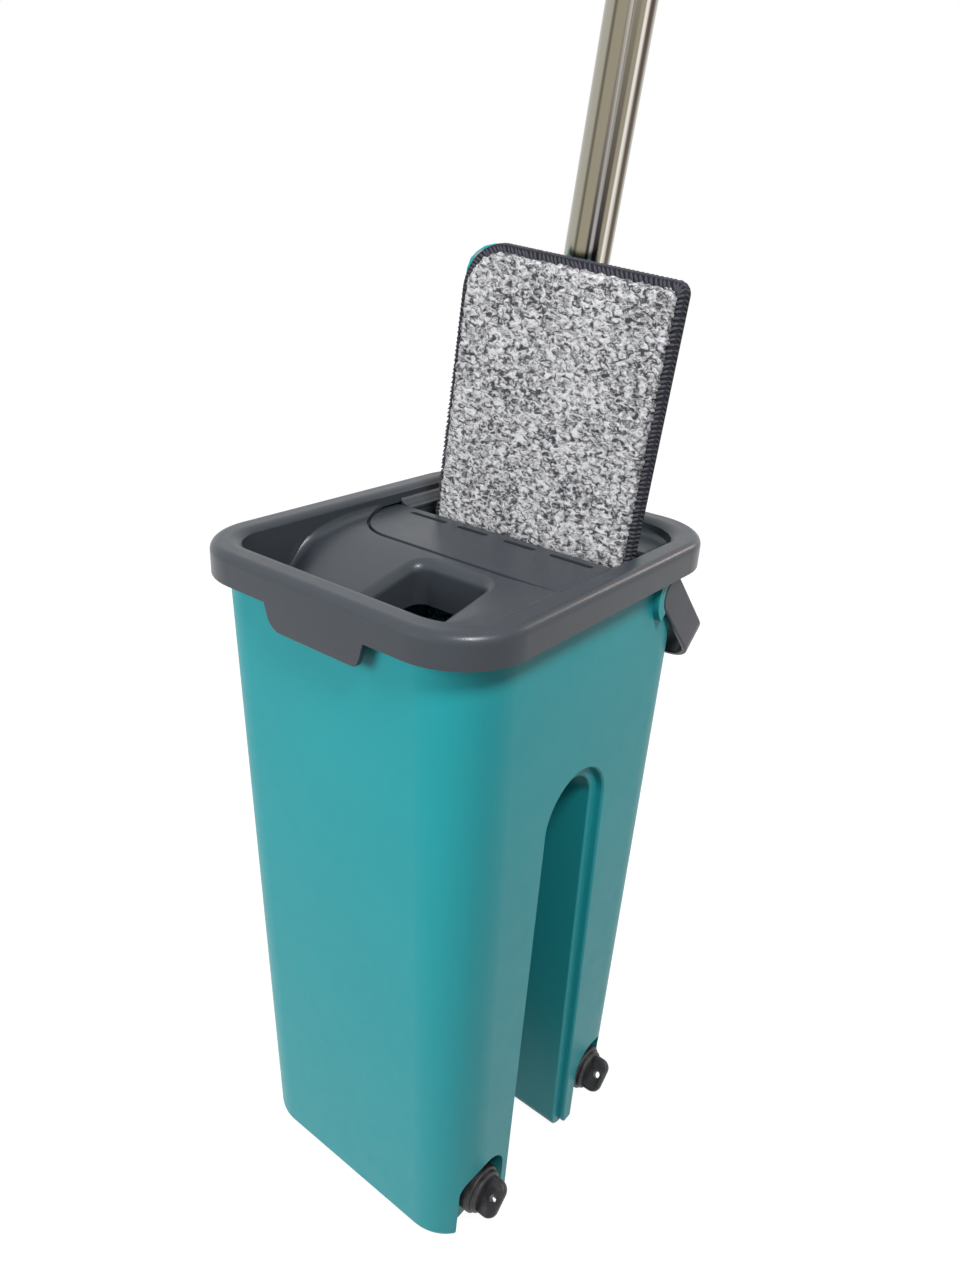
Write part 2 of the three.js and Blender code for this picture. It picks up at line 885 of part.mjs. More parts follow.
function makeBail() {
  const outer = bail.innerFace + bail.thickness;
  const inner = bail.reach - bail.gripThickness;
  const innerBend = bail.bend - bail.gripThickness;
  const band = new THREE.Shape();
  band.moveTo(0, -outer);
  band.lineTo(bail.reach - bail.bend, -outer);
  band.absarc(bail.reach - bail.bend, -outer + bail.bend, bail.bend, -Math.PI / 2, 0);
  band.absarc(bail.reach - bail.bend, outer - bail.bend, bail.bend, 0, Math.PI / 2);
  band.lineTo(0, outer);
  band.lineTo(0, bail.innerFace);
  band.absarc(inner - innerBend, bail.innerFace - innerBend, innerBend, Math.PI / 2, 0, true);
  band.absarc(inner - innerBend, -bail.innerFace + innerBend, innerBend, 0, -Math.PI / 2, true);
  band.lineTo(0, -bail.innerFace);
  band.closePath();
  let made = solid(prism(band, -bail.armHalfWidth, bail.armHalfWidth, detail.arc / 2));
  for (const side of [-1, 1]) {
    const near = side > 0 ? bail.innerFace : -outer;
    made = join(made, solid(rod(bail.headRadius, near, near + bail.thickness, "y", detail.round)));
    const seatDepth = bail.postSeat + fit.gap;
    const low = side > 0 ? bail.innerFace - fit.overrun : -bail.innerFace - seatDepth;
    made = cut(
      made,
      solid(rod(bail.postRadius + fit.gap, low, low + seatDepth + fit.overrun, "y", detail.small)),
    );
  }
  return made.rotate([0, bail.hang, 0]).translate([bail.pivotX, 0, pivotZ]);
}

// The mop. Its own frame: +Z up the handle, +Y across the head, the pad's face looks along -X, and the
// origin is the middle of the head's first pin, on the handle's axis

const plateBack = -tube.radius - plate.tubeClearance;
const plateFace = plateBack - plate.thickness;
const hookFace = plateFace - fit.gap - hook.thickness;
const backingFace = hookFace - fit.gap - pad.backingThickness;
const pileBack = backingFace - fit.gap;
const pileFace = pileBack - pad.pileThickness;

const mop = new THREE.Group();
mop.rotation.set(radians(seat.leanForward), radians(seat.leanLeft), radians(seat.turn), "ZXY");
const fromSeat = new THREE.Vector3(-pileFace, -pad.offset, -seat.aboveJoint).applyEuler(mop.rotation);
mop.position.set(seat.x, seat.y, trayLevel - seat.belowTray).add(fromSeat);

// The pad lies on the hook strips, slightly askew
const padGroup = new THREE.Group();
padGroup.position.set(0, pad.offset, 0);
padGroup.rotation.set(radians(pad.turn), 0, 0);

function headRect(width, length, radius) {
  return centredRect(width / 2, length / 2, radius);
}

function makePile() {
  const inset = pad.bindingWidth + fit.gap;
  const width = pad.width - 2 * inset;
  const length = pad.length - 2 * inset;
  const outline = headRect(width, length, pad.cornerRadius - inset / 2);
  const block = softPrism(outline, -pad.pileThickness, 0, pad.pileThickness / 3);
  const face = warp(block, (point) => {
    if (point.z < -pad.pileThickness / 2) {
      const across = 1 - Math.pow((2 * point.x) / width, 2);
      point.z += pad.pileCrown * (1 - across);
    }
  });
  const upright = new THREE.Matrix4().makeBasis(Y, Z, X);
  return solid(face.applyMatrix4(upright).translate(pileBack, 0, 0));
}

function makeBacking() {
  const inset = pad.bindingWidth + fit.gap;
  const outline = headRect(pad.width - 2 * inset, pad.length - 2 * inset, pad.cornerRadius - inset / 2);
  return solid(alongX(outline, backingFace, backingFace + pad.backingThickness));
}

function makeBinding() {
  const outline = headRect(pad.width, pad.length, pad.cornerRadius);
  const inset = pad.bindingWidth;
  const hole = headRect(pad.width - 2 * inset, pad.length - 2 * inset, pad.cornerRadius - inset / 2);
  const back = backingFace + pad.backingThickness;
  const low = back - pad.bindingThickness;
  const round = pad.bindingWidth / 3;
  const ring = softPrism(outline, low, back, round).applyMatrix4(intoX);
  return cut(solid(ring), solid(alongX(hole, low - fit.overrun, back + fit.overrun)));
}

function makeHook(side) {
  const low = side * hook.centre - hook.width / 2;
  const half = hook.length / 2;
  return solid(box(hookFace, hookFace + hook.thickness, low, low + hook.width, -half, half));
}

function makePlate() {
  const outline = headRect(plate.width, plate.length, plate.cornerRadius);
  const sheetBack = plateFace + plate.sheet;
  const sheet = solid(softPrism(outline, plateFace, sheetBack, plate.sheet / 3).applyMatrix4(intoX));
  const inner = headRect(
    plate.width - 2 * plate.ribWidth,
    plate.length - 2 * plate.ribWidth,
    plate.cornerRadius - plate.ribWidth,
  );
  const rimWall = cut(
    solid(alongX(outline, plateFace + plate.sheet / 2, plateBack)),
    solid(alongX(inner, plateFace, plateBack + fit.overrun)),
  );
  let made = join(sheet, rimWall);
  const halfRib = plate.ribWidth / 2;
  const inside = solid(alongX(outline, plateFace + plate.sheet / 2, plateBack));
  const rows = Math.floor(plate.length / 2 / plate.ribSpacing);
  for (let row = -rows; row <= rows; row += 1) {
    const z = row * plate.ribSpacing;
    const across = box(plateFace, plateBack, -plate.width / 2, plate.width / 2, z - halfRib, z + halfRib);
    made = join(made, solid(across).intersect(inside));
  }
  for (const y of [-bracket.screwY, bracket.screwY]) {
    const along = box(plateFace, plateBack, y - halfRib, y + halfRib, -plate.length / 2, plate.length / 2);
    made = join(made, solid(along).intersect(inside));
  }
  for (const [y, z] of screwPlaces()) {
    const boss = rod(screw.shankRadius + plate.ribWidth, plateFace + plate.sheet / 2, plateBack, "x");
    made = join(made, solid(boss.translate(0, y, z)));
    const hole = rod(screw.shankRadius + fit.gap, plateFace + plate.sheet, plateBack + fit.overrun, "x");
    made = cut(made, solid(hole.translate(0, y, z)));
  }
  return made;
}

function screwPlaces() {
  return [-1, 1].flatMap((side) =>
    [bracket.screwAbove, bracket.screwBelow].map((z) => [side * bracket.screwY, z]),
  );
}

const bracketBase = plateBack + fit.gap;
const bracketTop = bracketBase + bracket.thickness;
const lugInner = joint.barrelHalfLength + fit.running;
const lugOuter = lugInner + bracket.lugThickness;

function makeBracket() {
  const outline = roundedRect(
    -bracket.halfWidth,
    bracket.halfWidth,
    -bracket.below,
    bracket.above,
    bracket.cornerRadius,
  );
  let made = solid(alongX(outline, bracketBase, bracketTop));
  const lug = new THREE.Shape();
  const foot = -bracket.lugRadius;
  lug.moveTo(bracketBase + bracket.thickness / 2, bracket.above - bracket.thickness / 2);
  lug.lineTo(bracketBase + bracket.thickness / 2, foot);
  lug.absarc(0, 0, bracket.lugRadius, -Math.PI / 2, Math.PI / 2);
  lug.closePath();
  for (const side of [-1, 1]) {
    const low = side > 0 ? lugInner : -lugOuter;
    made = join(made, solid(alongY(lug, low, low + bracket.lugThickness, detail.arc)));
  }
  made = cut(made, solid(rod(joint.pinRadius + fit.gap, -lugOuter - fit.gap, lugOuter + fit.gap, "y")));
  for (const [y, z] of screwPlaces()) {
    const hole = rod(screw.shankRadius + fit.gap, bracketBase - fit.overrun, bracketTop + fit.overrun, "x");
    made = cut(made, solid(hole.translate(0, y, z)));
  }
  return made;
}

function makeScrew(y, z) {
  const under = bracketTop + fit.gap;
  const head = rod(screw.headRadius, under, under + screw.headHeight, "x");
  const shank = rod(screw.shankRadius, plateFace + plate.sheet + fit.gap, under + screw.headHeight / 2, "x");
  const crossWidth = screw.headRadius / 3;
  const slotDepth = under + screw.headHeight / 2;
  const top = under + screw.headHeight + fit.overrun;
  const long = screw.headRadius * 0.7;
  const cross = join(
    solid(box(slotDepth, top, -crossWidth / 2, crossWidth / 2, -long, long)),
    solid(box(slotDepth, top, -long, long, -crossWidth / 2, crossWidth / 2)),
  );
  return cut(join(solid(head), solid(shank)), cross).translate([0, y, z]);
}

function makeHeadPin() {
  const under = lugOuter + fit.gap;
  return join(
    solid(rod(joint.pinRadius, -under - joint.headThickness / 2, under + joint.headThickness / 2, "y")),
    solid(rod(joint.headRadius, under, under + joint.headThickness, "y")),
    solid(rod(joint.headRadius, -under - joint.headThickness, -under, "y")),
  );
}

function makeSwivelBlock() {
  const web = joint.webHalfWidth;
  const made = join(
    solid(rod(joint.barrelRadius, -joint.barrelHalfLength, joint.barrelHalfLength, "y", detail.round)),
    solid(rod(joint.barrelRadius, -joint.topBarrelHalfLength, joint.topBarrelHalfLength, "x", detail.round)
      .translate(0, 0, joint.spacing)),
    solid(box(-web, web, -web, web, 0, joint.spacing)),
  );
  return cut(
    made,
    solid(rod(joint.pinRadius + fit.gap, -joint.barrelHalfLength - fit.gap, joint.barrelHalfLength + fit.gap, "y")),
    solid(rod(joint.pinRadius + fit.gap, -joint.barrelRadius, joint.barrelRadius, "x")
      .translate(0, 0, joint.spacing)),
  );
}

const prongInner = joint.topBarrelHalfLength + fit.gap;
const prongOuter = prongInner + yoke.prongThickness;
const tubeFoot = joint.spacing + yoke.prongRadius + yoke.shoulder;

function makeYokePin() {
  // its ends lie flush in the prongs, because the plate is close in front and the tube runs behind
  return solid(rod(joint.pinRadius, -prongOuter, prongOuter, "x").translate(0, 0, joint.spacing));
}

function makeYoke() {
  const shoulderFoot = joint.spacing + yoke.prongRadius;
  const spigot = tube.radius - tube.wall - yoke.spigotGap;
  const shoulder = tube.radius;
  const body = solid(
    turned([
      [0, shoulderFoot],
      [shoulder, shoulderFoot],
      [shoulder, tubeFoot - fit.gap],
      [spigot, tubeFoot - fit.gap],
      [spigot, tubeFoot + yoke.spigotLength],
      [0, tubeFoot + yoke.spigotLength],
    ]),
  );
  const prong = new THREE.Shape();
  prong.absarc(0, joint.spacing, yoke.prongRadius, Math.PI, 2 * Math.PI);
  prong.lineTo(yoke.prongRadius, shoulderFoot + fit.overrun);
  prong.lineTo(-yoke.prongRadius, shoulderFoot + fit.overrun);
  prong.closePath();
  let made = body;
  for (const side of [-1, 1]) {
    const low = side > 0 ? prongInner : -prongOuter;
    made = join(made, solid(alongX(prong, low, low + yoke.prongThickness, detail.arc)));
  }
  const eye = rod(joint.pinRadius + fit.gap, -prongOuter - fit.gap, prongOuter + fit.gap, "x");
  const drill = rod(rivet.radius + fit.gap, 0, tube.radius + fit.overrun, "x");
  return cut(
    made,
    solid(eye.translate(0, 0, joint.spacing)),
    solid(drill.translate(0, 0, tubeFoot + rivet.above)),
  );
}

function makeRivet() {
  const under = tube.radius + fit.gap;
  const z = tubeFoot + rivet.above;
  return join(
    solid(rod(rivet.radius, fit.gap, under + rivet.headHeight / 2, "x")),
    solid(rod(rivet.headRadius, under, under + rivet.headHeight, "x")),
  ).translate([0, 0, z]);
}

function pipe(radius, wall, low, high) {
  return solid(
    turned([
      [radius - wall, low],
      [radius, low],
      [radius, high],
      [radius - wall, high],
      [radius - wall, low],
    ]),
  );
}

const tubeTop = tubeFoot + tube.length;
// Pushed right in, the upper tube rests on whichever stop it meets first: the grip at its stand-out, or its
// expander just above the yoke's spigot
const footAtStandOut = tubeTop + tube.standOut - tube.upperLength;
const footOnSpigot = tubeFoot + yoke.spigotLength + fit.running + lock.coneLength;
const upperFoot = Math.max(footAtStandOut, footOnSpigot);
const upperTop = upperFoot + tube.upperLength;
const lowerBore = tube.radius - tube.wall;

function makeLowerTube() {
  const hole = rod(rivet.radius + fit.gap, 0, tube.radius + fit.overrun, "x");
  hole.translate(0, 0, tubeFoot + rivet.above);
  return cut(pipe(tube.radius, tube.wall, tubeFoot, tubeTop), solid(hole));
}

// Guide bush: a thin sleeve in the mouth of the lower tube with a flange over its end
function makeBush() {
  const inner = tube.upperRadius + fit.gap / 2;
  const outer = lowerBore - fit.gap / 2;
  const low = tubeTop - lock.bushLength;
  const flangeLow = tubeTop + fit.gap;
  const flangeHigh = flangeLow + lock.bushFlange;
  return solid(
    turned([
      [inner, low],
      [outer, low],
      [outer, flangeLow],
      [tube.radius, flangeLow],
      [tube.radius, flangeHigh],
      [inner, flangeHigh],
      [inner, low],
    ]),
  );
}

const sleeveLow = tubeTop - lock.lapOnTube;
const sleeveHigh = sleeveLow + lock.sleeveLength;

// Twist lock: a gripping sleeve round the end of the lower tube
function makeSleeve() {
  const bore = tube.radius + fit.gap;
  const neck = tube.upperRadius + fit.running;
  const ceiling = tubeTop + lock.bushFlange + 2 * fit.gap;
  const soft = lock.gripDepth * 2;
  let made = solid(
    turned([
      [bore, sleeveLow],
      [lock.sleeveRadius - soft, sleeveLow],
      [lock.sleeveRadius, sleeveLow + soft],
      [lock.sleeveRadius, sleeveHigh - 2 * soft],
      [lock.sleeveRadius - soft, sleeveHigh],
      [neck, sleeveHigh],
      [neck, ceiling],
      [bore, ceiling],
      [bore, sleeveLow],
    ]),
  );
  for (let i = 0; i < lock.grips; i += 1) {
    const angle = (i / lock.grips) * 2 * Math.PI;
    const groove = rod(lock.gripDepth * 2, sleeveLow + 3 * soft, sleeveHigh - 3 * soft, "z", detail.groove);
    groove.translate(lock.sleeveRadius + lock.gripDepth, 0, 0).rotateZ(angle);
    made = cut(made, solid(groove));
  }
  return made;
}

function makeUpperTube() {
  return pipe(tube.upperRadius, tube.upperWall, upperFoot, upperTop);
}

// Expander: its core sits in the foot of the upper tube, its cone below it spreads in the lower tube
function makeCone() {
  const core = tube.upperRadius - tube.upperWall - fit.gap;
  const wide = lowerBore - fit.gap;
  const low = upperFoot - lock.coneLength;
  return solid(
    turned([
      [0, low],
      [wide, low],
      [wide, upperFoot - lock.coneCore],
      [core, upperFoot - fit.gap],
      [core, upperFoot + lock.coneLength / 2],
      [0, upperFoot + lock.coneLength / 2],
    ]),
  );
}

const gripLow = sleeveHigh + grip.aboveSleeve;
const gripHigh = gripLow + grip.length;

function makeGrip() {
  const bore = tube.upperRadius + fit.gap;
  const points = [[bore, gripLow]];
  const steps = grip.rings * detail.ringSteps;
  for (let i = 0; i <= steps; i += 1) {
    const share = i / steps;
    const ring = grip.ringDepth * Math.max(0, -Math.cos(share * grip.rings * 2 * Math.PI));
    const swell = grip.belly * Math.sin(share * Math.PI);
    const end = share === 0 || share === 1 ? grip.wall : 0;
    points.push([grip.radius - grip.belly + swell - ring - end, gripLow + share * grip.length]);
  }
  points.push([bore, gripHigh], [bore, gripLow]);
  return solid(turned(points));
}

function makeCap() {
  const low = gripHigh + fit.gap;
  const high = low + cap.length;
  const core = tube.upperRadius - tube.upperWall - fit.gap;
  const wide = grip.radius - grip.belly;
  const body = solid(
    turned([
      [0, upperTop - cap.length / 2],
      [core, upperTop - cap.length / 2],
      [core, Math.max(upperTop, gripHigh) + fit.gap],
      [wide, Math.max(upperTop, gripHigh) + fit.gap],
      ...cap.domeShares.map(([r, drop]) => [wide * r, high - cap.length * drop]),
      [0, high],
    ]),
  );
  const flat = cap.thickness / 2;
  const shaveTop = high + fit.overrun;
  const shaveLow = high - cap.holeDrop - cap.holeRadius - fit.overrun;
  const eye = rod(cap.holeRadius, -grip.radius, grip.radius, "x").translate(0, 0, high - cap.holeDrop);
  return cut(
    body,
    solid(box(flat, grip.radius + fit.overrun, -grip.radius, grip.radius, shaveLow, shaveTop)),
    solid(box(-grip.radius - fit.overrun, -flat, -grip.radius, grip.radius, shaveLow, shaveTop)),
    solid(eye),
  );
}

// The assembly

const teal = () => finish(colours.teal, 0.42);
const graphite = () => finish(colours.graphite, 0.5);
const rubber = () => finish(colours.black, 0.6);
const steel = () => finish(colours.steel, 0.18, 1);

add(model, "bucket_shell", makeShell(), teal());
add(model, "tray_lid", makeLid(), graphite());
add(model, "scraper_panel", makePanel(), graphite());
add(model, "scraper_holder", makeHolder(), graphite());
add(model, "scraper_lip", makeLip(), rubber());
add(model, "drain_plug_near", makePlug(legs[0]), rubber());
add(model, "drain_plug_far", makePlug(legs[1]), rubber());
add(model, "carry_handle", makeBail(), graphite());

add(padGroup, "pad_pile", makePile(), finish(colours.pile, 0.95));
add(padGroup, "pad_backing", makeBacking(), finish(colours.white, 0.95));
add(padGroup, "pad_binding", makeBinding(), finish(colours.charcoal, 0.9));
mop.add(padGroup);

add(mop, "hook_strip_left", makeHook(1), finish(colours.charcoal, 0.9));
add(mop, "hook_strip_right", makeHook(-1), finish(colours.charcoal, 0.9));
add(mop, "mop_plate", makePlate(), teal());
add(mop, "plate_bracket", makeBracket(), graphite());
screwPlaces().forEach(([y, z], i) => {
  add(mop, `bracket_screw_${i + 1}`, makeScrew(y, z), finish(colours.zinc, 0.3, 1));
});
add(mop, "head_pin", makeHeadPin(), finish(colours.zinc, 0.3, 1));
add(mop, "swivel_block", makeSwivelBlock(), graphite());
add(mop, "yoke_pin", makeYokePin(), finish(colours.zinc, 0.3, 1));
add(mop, "handle_yoke", makeYoke(), graphite());
add(mop, "tube_rivet", makeRivet(), finish(colours.zinc, 0.3, 1));
add(mop, "lower_tube", makeLowerTube(), steel());
add(mop, "tube_bush", makeBush(), finish(colours.white, 0.5));
add(mop, "lock_sleeve", makeSleeve(), graphite());
add(mop, "lock_cone", makeCone(), finish(colours.white, 0.5));
add(mop, "upper_tube", makeUpperTube(), steel());
add(mop, "hand_grip", makeGrip(), graphite());
add(mop, "hang_cap", makeCap(), teal());
model.add(mop);

// The origin is the middle of the whole object's box, on the floor

const bounds = new THREE.Box3().setFromObject(model, true);
const middle = bounds.getCenter(new THREE.Vector3());
model.position.set(-middle.x, -middle.y, -bounds.min.z);

const root = new THREE.Group();
root.add(model);

export default root;
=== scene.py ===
import math

import bmesh
import bpy
from mathutils import Matrix, Vector, noise


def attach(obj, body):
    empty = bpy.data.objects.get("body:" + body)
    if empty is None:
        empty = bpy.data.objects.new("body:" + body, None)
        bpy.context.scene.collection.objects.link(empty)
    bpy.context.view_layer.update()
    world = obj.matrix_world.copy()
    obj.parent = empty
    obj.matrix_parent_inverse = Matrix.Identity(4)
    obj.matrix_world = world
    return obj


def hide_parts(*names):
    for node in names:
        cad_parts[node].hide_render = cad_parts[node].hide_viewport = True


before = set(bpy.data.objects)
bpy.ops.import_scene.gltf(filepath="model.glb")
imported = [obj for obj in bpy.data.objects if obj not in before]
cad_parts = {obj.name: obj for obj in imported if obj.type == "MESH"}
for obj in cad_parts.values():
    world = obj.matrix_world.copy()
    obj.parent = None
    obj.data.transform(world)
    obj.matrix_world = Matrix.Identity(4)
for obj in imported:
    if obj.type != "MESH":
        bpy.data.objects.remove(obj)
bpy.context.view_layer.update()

# Camera: the photograph looks down on the bucket's near left corner from a little above the rim, and
# crops the pole. Its place and turn come from the bucket's own edges in the photograph.

camera_data = bpy.data.cameras.new("camera")
camera_data.lens = 26.845
camera_data.sensor_width = 36
camera = bpy.data.objects.new("camera", camera_data)
right = Vector((0.6262740813, -0.7778425564, 0.0523615551))
up = Vector((0.2983837311, 0.3012079563, 0.9056715277))
back = right.cross(up)
camera.matrix_world = Matrix.Translation((-0.3489, -0.2671, 0.5284)) @ Matrix((right, up, back)).transposed().to_4x4()
bpy.context.scene.collection.objects.link(camera)
bpy.context.scene.camera = camera
bpy.context.scene.view_settings.view_transform = "Standard"

# Studio: a white floor and a white surround, with a soft lamp on the left, a nearer one above the front and a
# small warm one on the right. What the camera and polished metal see of the surround is plain white.


class Value:
    """A node socket that can be reckoned with: each operation adds a Math node."""

    def __init__(self, finish, socket):
        self.finish, self.socket = finish, socket

    def math(self, operation, other):
        return self.finish.add("ShaderNodeMath", {"operation": operation}, {0: self, 1: other})

    def __add__(self, other):
        return self.math("ADD", other)

    def __sub__(self, other):
        return self.math("SUBTRACT", other)

    def __mul__(self, other):
        return self.math("MULTIPLY", other)

    def __truediv__(self, other):
        return self.math("DIVIDE", other)

    def most(self, other):
        return self.math("MAXIMUM", other)


class Finish:
    """The nodes of one material or of the world."""

    def __init__(self, owner):
        self.owner = owner
        owner.use_nodes = True
        self.tree = owner.node_tree
        self.tree.nodes.clear()

    def add(self, kind, settings=None, inputs=None, output=0):
        made = self.tree.nodes.new(kind)
        for name, value in (settings or {}).items():
            if name == "stops":
                ramp = made.color_ramp
                while len(ramp.elements) < len(value):
                    ramp.elements.new(1.0)
                for element, (place, tone) in zip(ramp.elements, value):
                    element.position, element.color = place, (*tone, 1)
            else:
                setattr(made, name, value)
        for name, value in (inputs or {}).items():
            if isinstance(value, Value):
                self.tree.links.new(value.socket, made.inputs[name])
            else:
                made.inputs[name].default_value = value
        return Value(self, made.outputs[output]) if len(made.outputs) else made

    def place(self):
        return self.add("ShaderNodeTexCoord", output="Object")

    def scaled(self, source, by):
        return self.add("ShaderNodeVectorMath", {"operation": "SCALE"}, {0: source, "Scale": by})

    def stretched(self, source, scale, rotation=(0, 0, 0)):
        return self.add("ShaderNodeMapping", None, {"Vector": source, "Scale": scale, "Rotation": rotation})

    def noise(self, source, scale, detail=2.0, rough=0.5, distortion=0.0):
        inputs = {"Vector": source, "Scale": scale, "Detail": detail, "Roughness": rough, "Distortion": distortion}
        return self.add("ShaderNodeTexNoise", None, inputs)

    def ranged(self, value, low, high, most=1.0):
        return self.add("ShaderNodeMapRange", None, {"Value": value, "From Min": low, "From Max": high, "To Max": most})

    def mix(self, share, first, second, blend="MIX"):
        """Two colours mixed by a share; each is a socket, or red, green and blue."""
        first, second = (c if isinstance(c, Value) else (*c, 1) for c in (first, second))
        return self.add("ShaderNodeMix", {"data_type": "RGBA", "blend_type": blend}, {0: share, 6: first, 7: second}, 2)

    def surface(self, tone, rough, height, bump, depth, others=None):
        """Ends a material: a Principled surface with a bump, whose owner is given back."""
        normal = self.add("ShaderNodeBump", None, {"Height": height, "Strength": bump, "Distance": depth})
        inputs = {"Base Color": tone, "Roughness": rough, "Normal": normal, **(others or {})}
        shader = self.add("ShaderNodeBsdfPrincipled", None, inputs)
        self.add("ShaderNodeOutputMaterial", None, {"Surface": shader})
        return self.owner


def colour(code):
    """Linear red, green and blue of a written colour such as 3f9fa3."""
    shares = [int(code[i : i + 2], 16) / 255 for i in (0, 2, 4)]
    return tuple(s / 12.92 if s <= 0.04045 else ((s + 0.055) / 1.055) ** 2.4 for s in shares)


surround_light = 0.3
floor_half, floor_drop, floor_tone, floor_glow = 6, 0.0005, (0.2, 0.2, 0.2, 1), 0.95
plain_white = (1, 1, 1, 1)


def seen_share(finish):
    """1 on a ray from the camera, off polished metal or through glass, and 0 on any other."""
    names = ("Is Camera Ray", "Is Glossy Ray", "Is Transmission Ray")
    rays = [finish.add("ShaderNodeLightPath", output=name) for name in names]
    return rays[0].most(rays[1]).most(rays[2])


world = bpy.data.worlds.new("surround")
bpy.context.scene.world = world
air = Finish(world)
strength = seen_share(air) * (1 - surround_light) + surround_light
light = air.add("ShaderNodeBackground", None, {"Color": plain_white, "Strength": strength})
air.add("ShaderNodeOutputWorld", None, {"Surface": light})

floor_mesh = bmesh.new()
below = Matrix.Translation((0, 0, -floor_drop))
bmesh.ops.create_grid(floor_mesh, x_segments=1, y_segments=1, size=floor_half, matrix=below)
floor_data = bpy.data.meshes.new("floor")
floor_mesh.to_mesh(floor_data)
floor = bpy.data.objects.new("floor", floor_data)
bpy.context.scene.collection.objects.link(floor)
floor_finish = Finish(bpy.data.materials.new("floor"))
matt = floor_finish.add("ShaderNodeBsdfDiffuse", None, {"Color": floor_tone})
strength = seen_share(floor_finish) * floor_glow
glow = floor_finish.add("ShaderNodeEmission", None, {"Color": plain_white, "Strength": strength})
both = floor_finish.add("ShaderNodeAddShader", None, {0: matt, 1: glow})
floor_finish.add("ShaderNodeOutputMaterial", None, {"Surface": both})
floor_data.materials.append(floor_finish.owner)


def soft_lamp(name, place, aim, size, power, tint=(1, 1, 1), mirrored=True):
    data = bpy.data.lights.new(name, "AREA")
    data.color = tint
    data.shape, data.size, data.energy = "DISK", size, power
    lamp = bpy.data.objects.new(name, data)
    direction = Vector(aim) - Vector(place)
    lamp.matrix_world = Matrix.Translation(place) @ direction.to_track_quat("-Z", "Y").to_matrix().to_4x4()
    lamp.visible_camera, lamp.visible_glossy = False, mirrored
    bpy.context.scene.collection.objects.link(lamp)


soft_lamp("left_lamp", (-1.6, 0.55, 0.85), (0, 0, 0.2), 1.0, 25, mirrored=False)
soft_lamp("front_lamp", (-0.3, -0.48, 1.05), (0, 0, 0.38), 0.22, 7.5)
soft_lamp("right_lamp", (1.25, -0.55, 1.0), (0, 0, 0.35), 0.25, 3.5, (1, 0.8, 0.7))

# Bucket shell: one tall teal polypropylene moulding with two hollow legs joined over an arch. The outside
# is drafted for the mould, the arch and the feet are rounded, and each leg has a niche for its drain plug.

MM = 0.001
BUCKET_SHIFT = Vector((-2.8905, 9.8044, 0))  # from the bucket's own middle to the frame's, in millimetres
in_bucket = Matrix.Scale(MM, 4) @ Matrix.Translation(BUCKET_SHIFT)

gap = 0.3  # between pieces that touch
shell_height = 376.2
foot_half = Vector((80, 77.8))
top_half = Vector((96.1, 80.1))
shell_corner = 27.5
shell_wall = 2.5
foot_edge = 5
arch_x = -2.2
arch_half_top = 25.2
arch_half_foot = 29.9
arch_crown = 278.6
arch_edge, arch_foot_edge = 1.7, 9
lining_half, lining_grow, lining_edge = 73.7, 6, 13
leg_spots = ((-53.4, 27), (52, 30.3))
niche_half = 16
niche_above = 23
niche_back = -65.8
drain_radius = 9.3
rim_top = 380
rim_bottom = 365
bead_proud = 0.3
bead_height = 2
pivot = Vector((63.3, 0, 353.8))
post_radius = 4
handle_inner = 80.5
rib_inner, rib_outer, rib_proud = 10, 15.2, 3.4
rib_from, rib_to = 73, 228


def block(low, high):
    """A solid box between two opposite corners."""
    made = bmesh.new()
    low, high = Vector(low), Vector(high)
    place = Matrix.Translation((low + high) / 2) @ Matrix.Diagonal((*(high - low), 1))
    bmesh.ops.create_cube(made, size=1, matrix=place)
    return made


def bevel(made, edges, radius, segments, clamp=False):
    settings = {"offset_type": "OFFSET", "affect": "EDGES", "profile": 0.5, "material": -1}
    bmesh.ops.bevel(made, geom=edges, offset=radius, segments=segments, clamp_overlap=clamp, **settings)


def round_edges(made, radius, segments, chosen):
    """Rounds the edges for which chosen(one end, other end) holds."""
    bevel(made, [e for e in made.edges if chosen(e.verts[0].co, e.verts[1].co)], radius, segments, True)
    return made


def runs_along(axis, where=lambda middle: True):
    """Chooses the edges that run along one axis, and whose middle passes the test."""
    others = [i for i in range(3) if i != axis]
    return lambda a, b: all(abs(a[i] - b[i]) < 1e-3 for i in others) and where((a + b) / 2)


def lies_at(axis, level):
    """Chooses the edges that lie in one plane."""
    return lambda a, b: abs(a[axis] - level) < 1e-3 and abs(b[axis] - level) < 1e-3


def boolean(made, tool, operation):
    """made becomes its union with, difference from, or common part with tool."""
    holders = []
    for source in (made, tool):
        data = bpy.data.meshes.new("scratch")
        source.to_mesh(data)
        holders.append(bpy.data.objects.new("scratch", data))
        bpy.context.scene.collection.objects.link(holders[-1])
    cutter = holders[0].modifiers.new("cutter", "BOOLEAN")
    cutter.object, cutter.operation, cutter.solver = holders[1], operation, "EXACT"
    result = holders[0].evaluated_get(bpy.context.evaluated_depsgraph_get())
    made.clear()
    made.from_mesh(result.to_mesh())
    result.to_mesh_clear()
    for holder in holders:
        bpy.data.meshes.remove(holder.data)
    bmesh.ops.remove_doubles(made, verts=made.verts, dist=1e-4)
    return made


def cut(made, *tools):
    for tool in tools:
        boolean(made, tool, "DIFFERENCE")
    return made


def join(made, *others):
    for other in others:
        boolean(made, other, "UNION")
    return made


def draft(made, sideways=True):
    """Widens the bucket upwards, as the mould's draft does."""
    for vert in made.verts:
        share = vert.co.z / shell_height
        if sideways:
            vert.co.x *= 1 + (top_half.x / foot_half.x - 1) * share
        vert.co.y *= 1 + (top_half.y / foot_half.y - 1) * share
    return made


